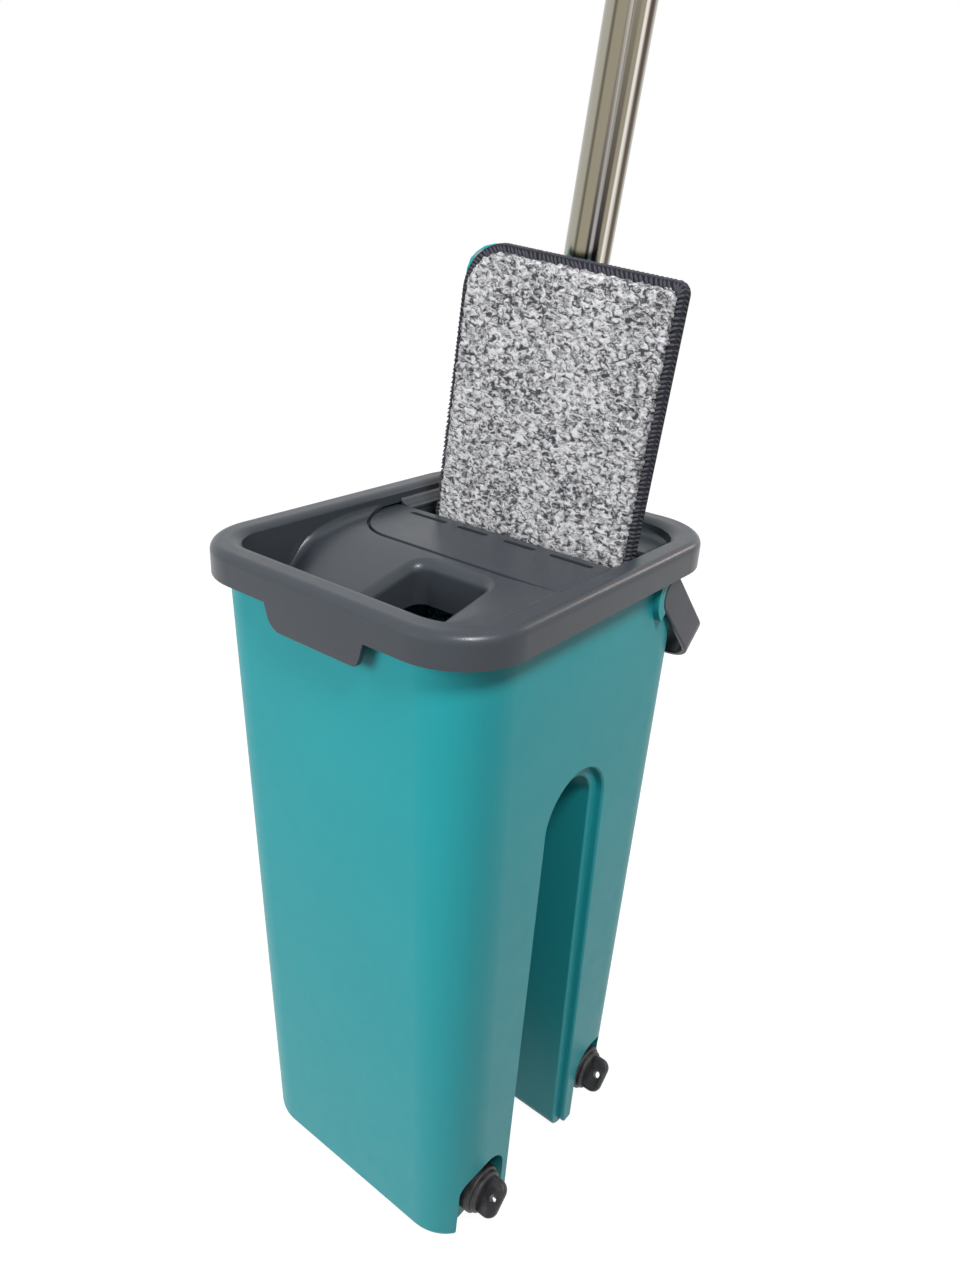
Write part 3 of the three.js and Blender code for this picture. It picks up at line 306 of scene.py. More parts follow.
def rod(radius, low, high, axis=2, sides=48, centre=(0, 0, 0)):
    """A closed cylinder along one axis."""
    made = bmesh.new()
    turn = {0: Matrix.Rotation(math.pi / 2, 4, "Y"), 1: Matrix.Rotation(math.pi / 2, 4, "X"), 2: Matrix()}[axis]
    middle = Vector(centre)
    middle[axis] += (low + high) / 2
    size = {"radius1": radius, "radius2": radius, "depth": high - low}
    place = Matrix.Translation(middle) @ turn
    bmesh.ops.create_cone(made, cap_ends=True, segments=sides, matrix=place, **size)
    return made


def moved(made, by):
    bmesh.ops.translate(made, vec=by, verts=made.verts)
    return made


def spun(made, geom, axis, steps, angle, **more):
    bmesh.ops.spin(made, geom=geom, axis=axis, cent=(0, 0, 0), steps=steps, angle=angle, use_duplicate=False, **more)


def of_kind(geom, kind):
    return [part for part in geom if isinstance(part, kind)]


def flipped(made):
    """The same shape on the other side of the bucket's middle plane."""
    bmesh.ops.scale(made, vec=(1, -1, 1), verts=made.verts)
    bmesh.ops.reverse_faces(made, faces=made.faces)
    return made


def finished(name, made, place, material, body, slot, *stands_for, crease=35):
    """The mesh becomes a piece of the object, put in its place and given its finish."""
    bmesh.ops.transform(made, matrix=place, verts=made.verts)
    data = bpy.data.meshes.new(name)
    made.to_mesh(data)
    made.free()
    data.materials.append(material)
    data.shade_smooth()
    data.set_sharp_from_angle(angle=math.radians(crease))
    piece = bpy.data.objects.new(name, data)
    bpy.context.scene.collection.objects.link(piece)
    weigh = piece.modifiers.new("flat faces stay flat", "WEIGHTED_NORMAL")
    weigh.keep_sharp = True
    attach(piece, body)
    if stands_for:
        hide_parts(*stands_for)
    return piece


def body_block(inset, low, edge):
    half = foot_half - Vector((inset, inset))
    made = block((-half.x, -half.y, low), (half.x, half.y, shell_height + 40))
    round_edges(made, shell_corner - inset, 20, runs_along(2))
    round_edges(made, edge, 5, lies_at(2, low))
    return made


def arch_block(grow):
    made = block((-arch_half_top - grow, -120, -30), (arch_half_top + grow, 120, arch_crown + grow))
    round_edges(made, (arch_half_top + grow) * 0.999, 24, runs_along(1, lambda middle: middle.z > 0))
    slope = (arch_half_foot - arch_half_top) / (arch_crown - arch_half_top)
    for vert in made.verts:
        if vert.co.z < 0:
            widened = arch_half_foot - slope * vert.co.z + grow
            vert.co.x = math.copysign(widened, vert.co.x)
        vert.co.x += arch_x
    return made


def niche_block(centre, level, grow):
    half = niche_half + grow
    made = block((-half, -120, -30), (half, niche_back + grow, level + niche_above + grow))
    round_edges(made, half * 0.999, 18, runs_along(1, lambda middle: middle.z > 0))
    return moved(made, (centre, 0, 0))


def on_faces(level, reach, apex):
    """Chooses outlines on the front and back planes, up to a height and not along the floor."""

    def chosen(one, other):
        on_plane = all(abs(abs(end.y) - level) < 1e-3 and reach(end.x) and end.z < apex for end in (one, other))
        return on_plane and (one.z > 1e-3 or other.z > 1e-3) and one.y * other.y > 0

    return chosen


def archway(corner, low, grow, edge, foot):
    """A block up to a corner on both sides, with the arch cut through it and its outline rounded."""
    half = corner[1]
    made = block((-corner[0], -half, low), corner)
    cut(made, arch_block(grow))
    foot_x = arch_half_foot + grow
    lower_edges = runs_along(1, lambda middle: middle.z < 1 and abs(abs(middle.x - arch_x) - foot_x) < 1)
    round_edges(made, foot, 6, lower_edges)
    beside = foot_x + foot + 0.5
    return round_edges(made, edge, 8, on_faces(half, lambda x: abs(x - arch_x) < beside, arch_crown + grow + 1))


# the arch and the niches are cut in a larger block, whose clean edges take their rounding
cheeks = archway((150, foot_half.y + 0.03, shell_height + 60), 0, 0, arch_edge, arch_foot_edge)
# behind a small step the arch is lined by a narrower, broadly rounded wall
join(cheeks, archway((60, lining_half, arch_crown + 15), 0.4, -lining_grow, lining_edge, arch_foot_edge))
cut(cheeks, *(niche_block(*spot, 0) for spot in leg_spots))
outside = body_block(0, 0, foot_edge)
draft(cheeks, sideways=False)
draft(outside)
boolean(outside, cheeks, "INTERSECT")
inside = draft(body_block(shell_wall, shell_wall, foot_edge - shell_wall))
cut(inside, arch_block(shell_wall), *(niche_block(*spot, shell_wall) for spot in leg_spots))
bead_top = rim_bottom - gap
bead_low = bead_top - bead_height
bead = block(
    (-foot_half.x - bead_proud, -foot_half.y - bead_proud, bead_low),
    (foot_half.x + bead_proud, foot_half.y + bead_proud, bead_top),
)
round_edges(bead, shell_corner + bead_proud, 20, runs_along(2))
round_edges(bead, 0.7, 2, lies_at(2, bead_low))
draft(bead)
wall_in = foot_half.y - shell_wall / 2
face_y = foot_half.y * (1 + (top_half.y / foot_half.y - 1) * pivot.z / shell_height)
mounts = []
for side in (-1, 1):
    post = rod(post_radius, wall_in, handle_inner + 1.8, 1, 32)
    rib = bmesh.new()
    start = math.radians(rib_from)
    rib_top = face_y + rib_proud
    corners = [(rib_inner, wall_in), (rib_outer, wall_in), (rib_outer, rib_top), (rib_inner, rib_top)]
    section = [rib.verts.new((r * math.cos(start), y, r * math.sin(start))) for r, y in corners]
    face = rib.faces.new(section)
    spun(rib, [face, *face.edges, *face.verts], (0, -1, 0), 24, math.radians(rib_to - rib_from))
    bmesh.ops.recalc_face_normals(rib, faces=rib.faces)
    mounts += [moved(piece, pivot) if side > 0 else flipped(moved(piece, pivot)) for piece in (post, rib)]
top_trim = block((-200, -200, shell_height), (200, 200, shell_height + 200))
drains = [rod(drain_radius, -90, -40, 1, 32, (x, 0, z)) for x, z in leg_spots]
shell = cut(join(outside, bead, *mounts), top_trim, inside, *drains)


def plastic(name, tone, roughness, gloss, grain, drift, scuff, speck=0.0):
    """Moulded plastic: a fine spark-eroded grain, slow drifts of tone, light rubbing and, where asked, dust."""
    finish = Finish(bpy.data.materials.new(name))
    in_mm = finish.scaled(finish.place(), 1 / MM)

    def cloud(size, detail=2.0, rough=0.5, source=in_mm):
        return finish.noise(source, 1 / size, detail, rough)

    along = finish.stretched(in_mm, (1.0, 1.0, 0.04), (0.3, 0.5, 0.0))
    rubbed = finish.ranged(cloud(1.3, 3.0, 0.6, along), 0.66, 0.74, scuff)
    dusty = finish.ranged(cloud(2.2, 4.0, 0.7), 0.68, 0.78, speck)
    deep = tuple(c * (1 - drift) for c in tone)
    pale = tuple(min(1.0, c * (1 + drift)) for c in tone)
    worn = tuple(c * 0.75 + 0.25 * 0.45 for c in tone)
    base = finish.mix(rubbed + dusty, finish.mix(cloud(70.0), deep, pale), worn)
    rough = cloud(9.0) * 0.12 + (roughness - 0.06) + rubbed * 0.3
    height = cloud(0.55, 1.0) * 0.8 + cloud(6.0) * 0.5
    return finish.surface(base, rough, height, grain, 0.0002, {"Specular IOR Level": gloss})


teal = plastic("teal polypropylene", (0.015, 0.29, 0.32), 0.42, 0.25, 0.25, 0.05, 0.06)
finished("bucket_shell_moulding", shell, in_bucket, teal, "bucket", "teal_plastic", "bucket_shell")

# Lid: a dark grey polypropylene moulding snapped over the shell. Its rolled rim runs round a sunk tray, which
# falls away to a pocket at the back left; it holds the pour hole, the mop's slot and the scraper panel's seat.

rim_half = Vector((102.9, 87.7))
rim_corner = 35
rim_edge = 4.5
rim_skirt = 2.5
rim_crust = 3.5
tray_half = Vector((88.3, 73.1))
tray_corner = 20.4
tray_front = -75.2
tray_front_corner = 27
edge_nose, edge_turn, edge_radius = 0.8, math.radians(40), 6
tray_level = 371.4
tray_floor = 2.5
tray_wall = 2.5
fall_from, fall_soft, fall_slope = -14, 8, 0.22
front_rise = 34
pocket_edge, pocket_way = Vector((-59.4, 54.2)), Vector((-0.48, 0.88))
pocket_soft, pocket_slope, deepest_fall = 3, 1.2, 27
pocket_right, pocket_fade = -27, 30
fillet_wide, fillet_high = 6, 4.6
ramp_from, ramp_rise, ramp_length = -65.5, 7, 9.7
pour_low, pour_high, pour_corner = Vector((-66, -33.5)), Vector((-22.8, 8.8)), 6.5
pour_depth, collar_wall = 24, 2.2
pour_lip, slot_lip = 5, 1.4
slot_low, slot_high, slot_corner, slot_bottom = Vector((14, -69.5)), Vector((61, 66)), 5, 344
bay_low, bay_high = Vector((50, -38)), Vector((87.3, 44))
panel_low, panel_high = Vector((-13.2, -65.1)), Vector((31.3, 72.2))
panel_corner = Vector((36, 31))
panel_thickness, panel_groove = 2.7, 1.15
apron_tops, apron_bottoms, apron_drop = (-33.5, 29), (-28.4, 25.5), 12.4


def smooth(share):
    share = min(max(share, 0.0), 1.0)
    return share * share * (3 - 2 * share)


def inside_depth(x, y, low, high, corner):
    """How far a point lies inside a rounded rectangle; less than nothing outside it."""
    middle, half = (low + high) / 2, (high - low) / 2
    dx, dy = abs(x - middle.x) - (half.x - corner), abs(y - middle.y) - (half.y - corner)
    return corner - math.hypot(max(dx, 0), max(dy, 0)) - min(max(dx, dy), 0)


def softened(value, soft):
    """The value where it is above nothing, with a soft turn at nothing."""
    return (value + math.hypot(value, soft)) / 2


def tray_height(x, y):
    fall = fall_slope * softened(fall_from - x, fall_soft) * smooth((y - ramp_from) / front_rise)
    into_pocket = (Vector((x, y)) - pocket_edge).dot(pocket_way)
    share = smooth((pocket_right - x) / pocket_fade)
    fall += pocket_slope * share * softened(into_pocket, pocket_soft)
    fall = deepest_fall - softened(deepest_fall - fall, 4)
    wall = inside_depth(x, y, Vector((-tray_half.x, tray_front)), tray_half, 24) / fillet_wide
    fillet = fillet_high * (1 - math.sqrt(1 - (1 - min(max(wall, 0), 1)) ** 2))
    climb = softened((ramp_from - y) / ramp_length * ramp_rise, 1.2)
    return tray_level - fall + max(climb, fillet) - 0.02


def above_floor(sink):
    """Everything above the tray's floor, or above a surface that lies sink below it."""
    made = bmesh.new()
    middle = Vector((0, -2, 500))
    place = Matrix.Translation(middle) @ Matrix.Diagonal((95, 84, 1, 1))
    bmesh.ops.create_grid(made, x_segments=180, y_segments=160, size=1, matrix=place)
    top = bmesh.ops.extrude_face_region(made, geom=made.faces[:])
    bmesh.ops.translate(made, vec=(0, 0, -100), verts=of_kind(top["geom"], bmesh.types.BMVert))
    for vert in made.verts:
        if vert.co.z < 450:
            vert.co.z = tray_height(vert.co.x, vert.co.y) - sink
    bmesh.ops.recalc_face_normals(made, faces=made.faces)
    return made


def upright_block(low, high, bottom, top, corners):
    """A block with rounded upright edges: one radius, or one for each corner by its sides of the middle."""
    made = block((*low, bottom), (*high, top))
    if not isinstance(corners, dict):
        return round_edges(made, corners, 14, runs_along(2))
    middle = (low + high) / 2
    for (side_x, side_y), radius in corners.items():
        here = runs_along(2, lambda m: (m.x - middle.x) * side_x > 0 and (m.y - middle.y) * side_y > 0)
        ends = [e for e in made.edges if here(e.verts[0].co, e.verts[1].co) and e.calc_length() > 1]
        corner = [e for e in ends if min(abs(e.verts[0].co.x - low.x), abs(e.verts[0].co.x - high.x)) < 1e-3]
        corner = [e for e in corner if min(abs(e.verts[0].co.y - low.y), abs(e.verts[0].co.y - high.y)) < 1e-3]
        bevel(made, corner, radius, 14)
    return made


def grown(low, high, by):
    return low - Vector((by, by)), high + Vector((by, by))


def tray_block(grow, bottom, top):
    low, high = grown(Vector((-tray_half.x, tray_front)), tray_half, grow)
    back, front = tray_corner + grow, tray_front_corner + grow
    return upright_block(low, high, bottom, top, {(-1, 1): back, (1, 1): back, (-1, -1): front, (1, -1): front})


def rim_profile():
    """How far out and up the tray's edge goes: a small nose over the wall, then a wide soft slope to the rim."""
    nose = [edge_turn * i / 3 for i in range(1, 4)]
    slope = [edge_turn + (math.pi / 2 - edge_turn) * i / 6 for i in range(1, 7)]
    steps = [(edge_nose * (1 - math.cos(a)), edge_nose * math.sin(a)) for a in nose]
    out, rise = steps[-1]
    out += edge_radius * math.cos(edge_turn)
    rise -= edge_radius * math.sin(edge_turn)
    steps += [(out - edge_radius * math.cos(a), rise + edge_radius * math.sin(a)) for a in slope]
    return steps


def topmost(made):
    return max(made.faces, key=lambda f: f.calc_center_median().z)


def raised(made, top):
    """Draws walls up from a face, which goes, and gives back the face that closes them."""
    extruded = bmesh.ops.extrude_face_region(made, geom=[top])["geom"]
    bmesh.ops.delete(made, geom=[top], context="FACES_ONLY")
    return of_kind(extruded, bmesh.types.BMFace)[0]


def open_out(made, steps):
    """Carries the top face up and outwards by the steps, so that the cut leaves a rounded edge."""
    top = topmost(made)
    middle = top.calc_center_bounds()
    half = max(v.co.x - middle.x for v in top.verts), max(v.co.y - middle.y for v in top.verts)
    base = middle.z
    last = 0.0
    for out, rise in (*steps, (steps[-1][0], steps[-1][1] + 4)):
        top = raised(made, top)
        spread = Vector(((half[0] + out) / (half[0] + last), (half[1] + out) / (half[1] + last), 1))
        bmesh.ops.scale(made, vec=spread, verts=top.verts, space=Matrix.Translation(-middle))
        bmesh.ops.translate(made, vec=(0, 0, base + rise - top.calc_center_median().z), verts=top.verts)
        last = out
    return made


def lipped(made, radius, steps=7):
    """Carries the top face out and up to the tray's floor along a quarter circle: the cut leaves a rolled lip."""
    top = topmost(made)
    corners = [v.co.xy for v in top.verts]
    outwards = []
    for before, here, after in zip(corners[-1:] + corners[:-1], corners, corners[1:] + corners[:1]):
        ways = [(here - before).normalized(), (after - here).normalized()]
        outwards.append(Vector((ways[0].y + ways[1].y, -ways[0].x - ways[1].x)).normalized())
    for step in range(steps + 1):
        turned = min(step / (steps - 1), 1) * math.radians(88)
        out = radius * (1 - math.cos(turned))
        top = raised(made, top) if step else top
        for vert, start, outward in zip(top.verts, corners, outwards):
            spot = start + outward * out
            level = tray_height(*spot) - radius * (1 - math.sin(turned))
            vert.co = (*spot, level if step < steps else rim_top + 10)
    return made


def panel_block(grow, bottom, top):
    squash = panel_corner.y / panel_corner.x
    low, high = grown(panel_low, panel_high, grow)
    made = block((low.x, low.y / squash, bottom), (panel_high.x, high.y / squash, top))
    round_edges(made, panel_corner.x, 16, runs_along(2, lambda m: m.x < 0 and m.y > 0))
    bmesh.ops.scale(made, vec=(1, squash, 1), verts=made.verts)
    return made


def slot_blocks(grow, bottom, top):
    """The mop's slot: a long part for the pad and its plate, and a bay behind it for the joint."""
    parts = ((slot_low, slot_high), (bay_low, bay_high))
    return [upright_block(*grown(*ends, grow), bottom, top, slot_corner + grow) for ends in parts]


lid = upright_block(-rim_half, rim_half, rim_bottom, rim_top, rim_corner)
round_edges(lid, rim_edge, 8, lies_at(2, rim_top))
channel_half = rim_half - Vector((rim_skirt, rim_skirt))
channel = upright_block(-channel_half, channel_half, rim_bottom - 5, rim_top - rim_crust, rim_corner - rim_skirt)
cut(lid, channel)
panel_seat = tray_level - panel_thickness - gap
basin = tray_block(tray_wall, tray_level - deepest_fall - tray_floor - 3, rim_top - rim_crust / 2)
boolean(basin, above_floor(tray_floor), "INTERSECT")
collar_ends = grown(pour_low, pour_high, collar_wall)
pour_collar = upright_block(*collar_ends, tray_level - pour_depth, tray_level - 1, pour_corner + collar_wall)
cut(pour_collar, above_floor(tray_floor / 2))
slot_collar, bay_collar = slot_blocks(collar_wall, slot_bottom, panel_seat)
seat_ring = panel_block(panel_groove + tray_wall, panel_seat - tray_floor, tray_level - 0.5)
boolean(seat_ring, tray_block(tray_wall, 340, 378), "INTERSECT")
clear_of_shell = draft(body_block(shell_wall + 0.5, -20, 1))
bmesh.ops.bisect_plane(
    clear_of_shell,
    geom=[*clear_of_shell.verts, *clear_of_shell.edges, *clear_of_shell.faces],
    plane_co=(0, 0, shell_height + 0.3),
    plane_no=(0, 0, 1),
    clear_outer=True,
)
bmesh.ops.holes_fill(clear_of_shell, edges=clear_of_shell.edges)
join(clear_of_shell, block((-150, -150, shell_height + 0.2), (150, 150, rim_top)))
hanging = join(basin, pour_collar, slot_collar, bay_collar, seat_ring)
boolean(hanging, clear_of_shell, "INTERSECT")
join(lid, hanging)
tray_edge = rim_profile()
hollow = open_out(tray_block(0, rim_bottom - deepest_fall, rim_top - tray_edge[-1][1]), tray_edge)
boolean(hollow, above_floor(0), "INTERSECT")
cut(lid, hollow)
seat = boolean(panel_block(panel_groove, panel_seat, rim_top), tray_block(0, 340, 378), "INTERSECT")
cut(lid, seat)
pour_hole = upright_block(pour_low, pour_high, 300, 350, pour_corner)
for hole, lip in ((pour_hole, pour_lip), *((part, slot_lip) for part in slot_blocks(0, 300, 350))):
    cut(lid, lipped(hole, lip))
apron = block(
    (-rim_half.x, apron_tops[0], rim_bottom - apron_drop),
    (-rim_half.x + rim_skirt, apron_tops[1], rim_bottom + 4.5),
)
for vert in apron.verts:
    if vert.co.z < rim_bottom:
        vert.co.y = apron_bottoms[0] if vert.co.y < 0 else apron_bottoms[1]
round_edges(apron, 3, 5, runs_along(0, lambda m: m.z < rim_bottom and m.y < 0))
round_edges(apron, 7, 6, runs_along(0, lambda m: m.z < rim_bottom and m.y > 0))
skin = -rim_half.x + 0.1
round_edges(apron, 0.8, 2, lambda a, b: max(a.z, b.z) < rim_bottom + 1 and max(a.x, b.x) < skin)
join(lid, apron)
graphite = plastic("graphite polypropylene", colour("363b41"), 0.32, 0.35, 0.3, 0.06, 0.05, 0.06)
finished("tray_lid_moulding", lid, in_bucket, graphite, "bucket", "graphite_plastic", "tray_lid")

# Scraper panel: a flat dark grey plate clipped into its seat beside the slot, with four narrow windows for the
# holder's tabs. Under it a hidden holder grips the black rubber lip that scrapes the pad.

window_x, window_half = 24.5, 1.8
window_spans = ((-58, -33.2), (-24.2, -4.8), (6, 26), (33.6, 58.5))
panel_lip, panel_lip_drop = (28.9, 31.0, -64.0, 67.1), 4


def dressed(material, *names):
    """CAD nodes that are shown as they are, with a real finish."""
    for name in names:
        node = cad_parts[name]
        node.data.materials.clear()
        node.data.materials.append(material)


panel = panel_block(0, tray_level - panel_thickness, tray_level)
round_edges(panel, 0.5, 2, lies_at(2, tray_level))
low_x, high_x, low_y, high_y = panel_lip
join(panel, block((low_x, low_y, tray_level - panel_thickness - panel_lip_drop), (high_x, high_y, tray_level - 1.2)))
for near, far in window_spans:
    ends = Vector((window_x - window_half, near)), Vector((window_x + window_half, far))
    cut(panel, upright_block(*ends, 360, 380, window_half * 0.96))
finished("scraper_panel_plate", panel, in_bucket, graphite, "bucket", "graphite_plastic", "scraper_panel")


def rubber(name, tone, roughness):
    """Black rubber with a faint bloom and fine dust."""
    finish = Finish(bpy.data.materials.new(name))
    place = finish.place()
    bloom = finish.noise(place, 160.0, 4.0)
    pale = tuple(c + 0.035 for c in tone)
    base = finish.mix(finish.ranged(bloom, 0.45, 0.75), tone, pale)
    return finish.surface(base, bloom * 0.2 + (roughness - 0.1), finish.noise(place, 1500.0), 0.2, 0.0001)


black = rubber("black rubber", colour("0e0e12"), 0.5)
# the hidden holder's near-black tone is painted shade, so that the panel's windows read as dark slots
dressed(plastic("holder polypropylene with painted shade", colour("17181c"), 0.4, 0.3, 0.3, 0.05, 0.05), "scraper_holder")
dressed(black, "scraper_lip")

# Drain plugs: one solid moulding of black rubber each, pushed into the drain at the back of its niche. A thick
# disc carries a slanted tongue with a small hole to pull it by.

plug_seat = niche_back - gap
flange_radius, flange_depth = 13.6, 11
hub_radius, hub_depth = 12, 2.8
stem_radius, stem_depth = 9, 9
tongue_half, tongue_out, tongue_thick, tongue_round = 10.4, 9.9, 4.8, 5.5
tongue_hole = 2
tongue_tilt = 45


def turned(points, steps=64):
    """A solid of revolution round the upright axis from its outline, bottom to top."""
    made = bmesh.new()
    ring = [made.verts.new((r, 0, z)) for r, z in points]
    edges = [made.edges.new(pair) for pair in zip(ring, ring[1:])]
    if points[0][0] > 0:
        edges.append(made.edges.new((ring[-1], ring[0])))
    spun(made, ring + edges, (0, 0, 1), steps, 2 * math.pi, use_merge=True)
    bmesh.ops.remove_doubles(made, verts=made.verts, dist=1e-4)
    bmesh.ops.recalc_face_normals(made, faces=made.faces)
    return made


def rolled(radius, low, high, edge, steps=4):
    """The outline of a disc or rod whose two rims are rounded."""
    lower = [(radius - edge + edge * math.sin(a), low + edge - edge * math.cos(a)) for a in arc(steps)]
    upper = [(radius - edge + edge * math.cos(a), high - edge + edge * math.sin(a)) for a in arc(steps)]
    return [(0, low), *lower, *upper, (0, high)]


def arc(steps):
    return [math.pi / 2 * i / steps for i in range(steps + 1)]


plugs = (("near_plug", "drain_plug_near", leg_spots[0]), ("far_plug", "drain_plug_far", leg_spots[1]))
for body, node, (x, z) in plugs:
    plug = turned(rolled(flange_radius, 0, flange_depth, 1.2))
    join(plug, turned(rolled(hub_radius, flange_depth - 2, flange_depth + hub_depth, 1.6)))
    join(plug, turned(rolled(stem_radius, -stem_depth, 1, 1.0)))
    far_end = flange_depth + hub_depth + tongue_out
    low_end = far_end - tongue_out - 4
    tongue = block((-tongue_half, -tongue_thick / 2, low_end), (tongue_half, tongue_thick / 2, far_end))
    round_edges(tongue, tongue_round, 8, runs_along(1, lambda m: m.z > far_end - 1))
    for side in (-1, 1):
        round_edges(tongue, 1.4, 4, lies_at(1, side * tongue_thick / 2))
    cut(tongue, rod(tongue_hole, -10, 10, 1, 24, (0.3, 0, far_end - 4.7)))
    join(plug, tongue)
    aimed = Matrix.Rotation(math.pi / 2, 4, "X") @ Matrix.Rotation(math.radians(tongue_tilt), 4, "Z")
    place = in_bucket @ Matrix.Translation((x, plug_seat, z)) @ aimed
    finished(node + "_moulding", plug, place, black, body, "black_rubber", node)

# Carry handle: a flat dark grey bail, moulded in one, whose round ends turn on the shell's two posts. It hangs
# down beside the shell.

handle_thick, handle_half, handle_reach, handle_bend, grip_thick = 2.8, 9, 60.3, 18, 3.2
handle_hang = 46.3
handle_outer = handle_inner + handle_thick
bends = {(1, 1): handle_bend, (1, -1): handle_bend}
ends = Vector((-handle_half, -handle_outer)), Vector((handle_reach, handle_outer))
bail = upright_block(*ends, -handle_half, handle_half, bends)
bends = {where: bend - grip_thick for where, bend in bends.items()}
ends = Vector((-handle_half - 30, -handle_inner)), Vector((handle_reach - grip_thick, handle_inner))
cut(bail, upright_block(*ends, -20, 20, bends))
round_ends = block((-handle_half, -100, -handle_half), (100, 100, handle_half))
round_edges(round_ends, handle_half * 0.99, 12, runs_along(1, lambda m: m.x < 0))
boolean(bail, round_ends, "INTERSECT")
for side in (-1, 1):
    seat_hole = rod(post_radius + gap, 0, 2.1, 1, 32)
    moved(seat_hole, (0, handle_inner - 0.001, 0))
    cut(bail, seat_hole if side > 0 else flipped(seat_hole))
outer_rims = [e for e in bail.edges if len(e.link_faces) == 2 and e.calc_face_angle() > math.radians(60)]
outer_rims = [e for e in outer_rims if max(math.hypot(v.co.x, v.co.z) for v in e.verts) > post_radius + 1]
bevel(bail, outer_rims, 0.8, 3)
place = in_bucket @ Matrix.Translation(pivot) @ Matrix.Rotation(math.radians(handle_hang), 4, "Y")
# a darker, bluer copy of the graphite plastic: the extra darkness is painted shade for the bail hanging under the rim
shaded_graphite = plastic("graphite polypropylene with painted shade", colour("272b33"), 0.36, 0.3, 0.3, 0.06, 0.05, 0.06)
finished("carry_handle_moulding", bail, place, shaded_graphite, "bail", "graphite_plastic", "carry_handle")

# Mop pad: a looped microfibre face in light and dark grey yarn, bound all round with charcoal overlocking, and
# stuck a little askew on the head's hook strips.

lean_forward, lean_left, mop_turn = 6.4, -1.4, 4.8
pad_point = Vector((37.6, -7.2, tray_level - 2.8))
tube_radius = 11
plate_back = -tube_radius - 1
plate_face = plate_back - 4.2
hook_thick, backing_thick = 1.5, 2.3
pad_back = plate_face - gap - hook_thick - gap
backing_face = pad_back - backing_thick
pile_back = backing_face - gap
pile_thick = 7.5
pad_half = Vector((59, 151))
pad_corners = {(-1, 1): 23, (1, 1): 5.5, (-1, -1): 10, (1, -1): 10}
pad_offset = -6.7
pad_turn = -1.2
binding_wide, binding_thick = 4.7, 6.6
point_above_pin = 12.7

lean = (
    Matrix.Rotation(math.radians(mop_turn), 4, "Z")
    @ Matrix.Rotation(math.radians(lean_forward), 4, "X")
    @ Matrix.Rotation(math.radians(lean_left), 4, "Y")
)
to_pin = lean @ Vector((pile_thick - pile_back, -pad_offset, -point_above_pin))
in_mop = in_bucket @ Matrix.Translation(pad_point + to_pin) @ lean
in_pad = in_mop @ Matrix.Translation((0, pad_offset, 0)) @ Matrix.Rotation(math.radians(pad_turn), 4, "X")
# flat shapes are drawn across and along the pad, with their thickness towards its looped face
face_up = Matrix(((0, 0, -1, 0), (-1, 0, 0, 0), (0, 1, 0, 0), (0, 0, 0, 1)))

pile_inset = binding_wide - 1.9
pile_half = pad_half - Vector((pile_inset, pile_inset))
pile_step = 0.95
pile_roll = 2.6
loop_size, loop_height, pile_most = 1.7, 0.75, 7.4
pile = bmesh.new()
across, along = round(2 * pile_half.x / pile_step), round(2 * pile_half.y / pile_step)
bmesh.ops.create_grid(pile, x_segments=across, y_segments=along, size=1, matrix=Matrix.Diagonal((*pile_half, 1, 1)))
for vert in pile.verts:
    x, y = vert.co.x, vert.co.y
    pile_corner = pad_corners[1 if x > 0 else -1, 1 if y > 0 else -1] - pile_inset / 2
    arm = Vector((max(abs(x) - pile_half.x + pile_corner, 0), max(abs(y) - pile_half.y + pile_corner, 0)))
    if arm.x and arm.y:
        arm *= max(arm) / arm.length
        x = math.copysign(pile_half.x - pile_corner + arm.x, x)
        y = math.copysign(pile_half.y - pile_corner + arm.y, y)
    deep = inside_depth(x, y, -pile_half, pile_half, pile_corner)
    edge = max(pile_roll - deep, 0)
    dome = pile_thick - (pile_roll - math.sqrt(max(pile_roll**2 - edge**2, 0))) * 1.6 - 0.8 * (x / pile_half.x) ** 2
    spot = Vector((x / loop_size, y / (loop_size * 0.7), 3.1))
    loops = noise.noise(spot) + 0.5 * noise.noise(spot * 2.3)
    loose = 0.5 * noise.noise(Vector((x / 14, y / 14, 7.7)))
    ragged = 2.2 - 1.7 * smooth(deep / 2.5)
    vert.co = (
        x + ragged * noise.noise(spot + Vector((9, 0, 0))),
        y + ragged * noise.noise(spot + Vector((0, 9, 0))),
        max(min(dome + (loops * loop_height + loose) * min(deep / 1.5, 1), pile_most), 0.6) if deep > 0.05 else 0.6,
    )
rim_loop = [e for e in pile.edges if e.is_boundary]
skirt = bmesh.ops.extrude_edge_only(pile, edges=rim_loop)["geom"]
for vert in of_kind(skirt, bmesh.types.BMVert):
    vert.co.z = 0
bmesh.ops.edgeloop_fill(pile, edges=[e for e in of_kind(skirt, bmesh.types.BMEdge) if e.is_boundary])
bmesh.ops.recalc_face_normals(pile, faces=pile.faces)


def settled(made):
    """The soft pad isn't quite square: its top lies a little low, and its left side draws in towards the top."""
    for vert in made.verts:
        up = max(vert.co.y / pad_half.y, 0)
        vert.co.y -= (1.1 + 0.5 * vert.co.x / pad_half.x) * up
        if vert.co.x < 0:
            vert.co.x *= 1 - 0.07 * up
    return made


def mop_pattern(finish, size):
    """Object coordinates turned into the mop's own frame, in units of one size in millimetres."""
    back_turn = in_mop.to_3x3().normalized().inverted()
    start = -(back_turn @ in_mop.translation)
    upright = {"Rotation": back_turn.to_euler("XYZ"), "Location": start}
    local = finish.add("ShaderNodeMapping", None, {"Vector": finish.place(), **upright})
    return finish.scaled(local, 1 / (MM * size))


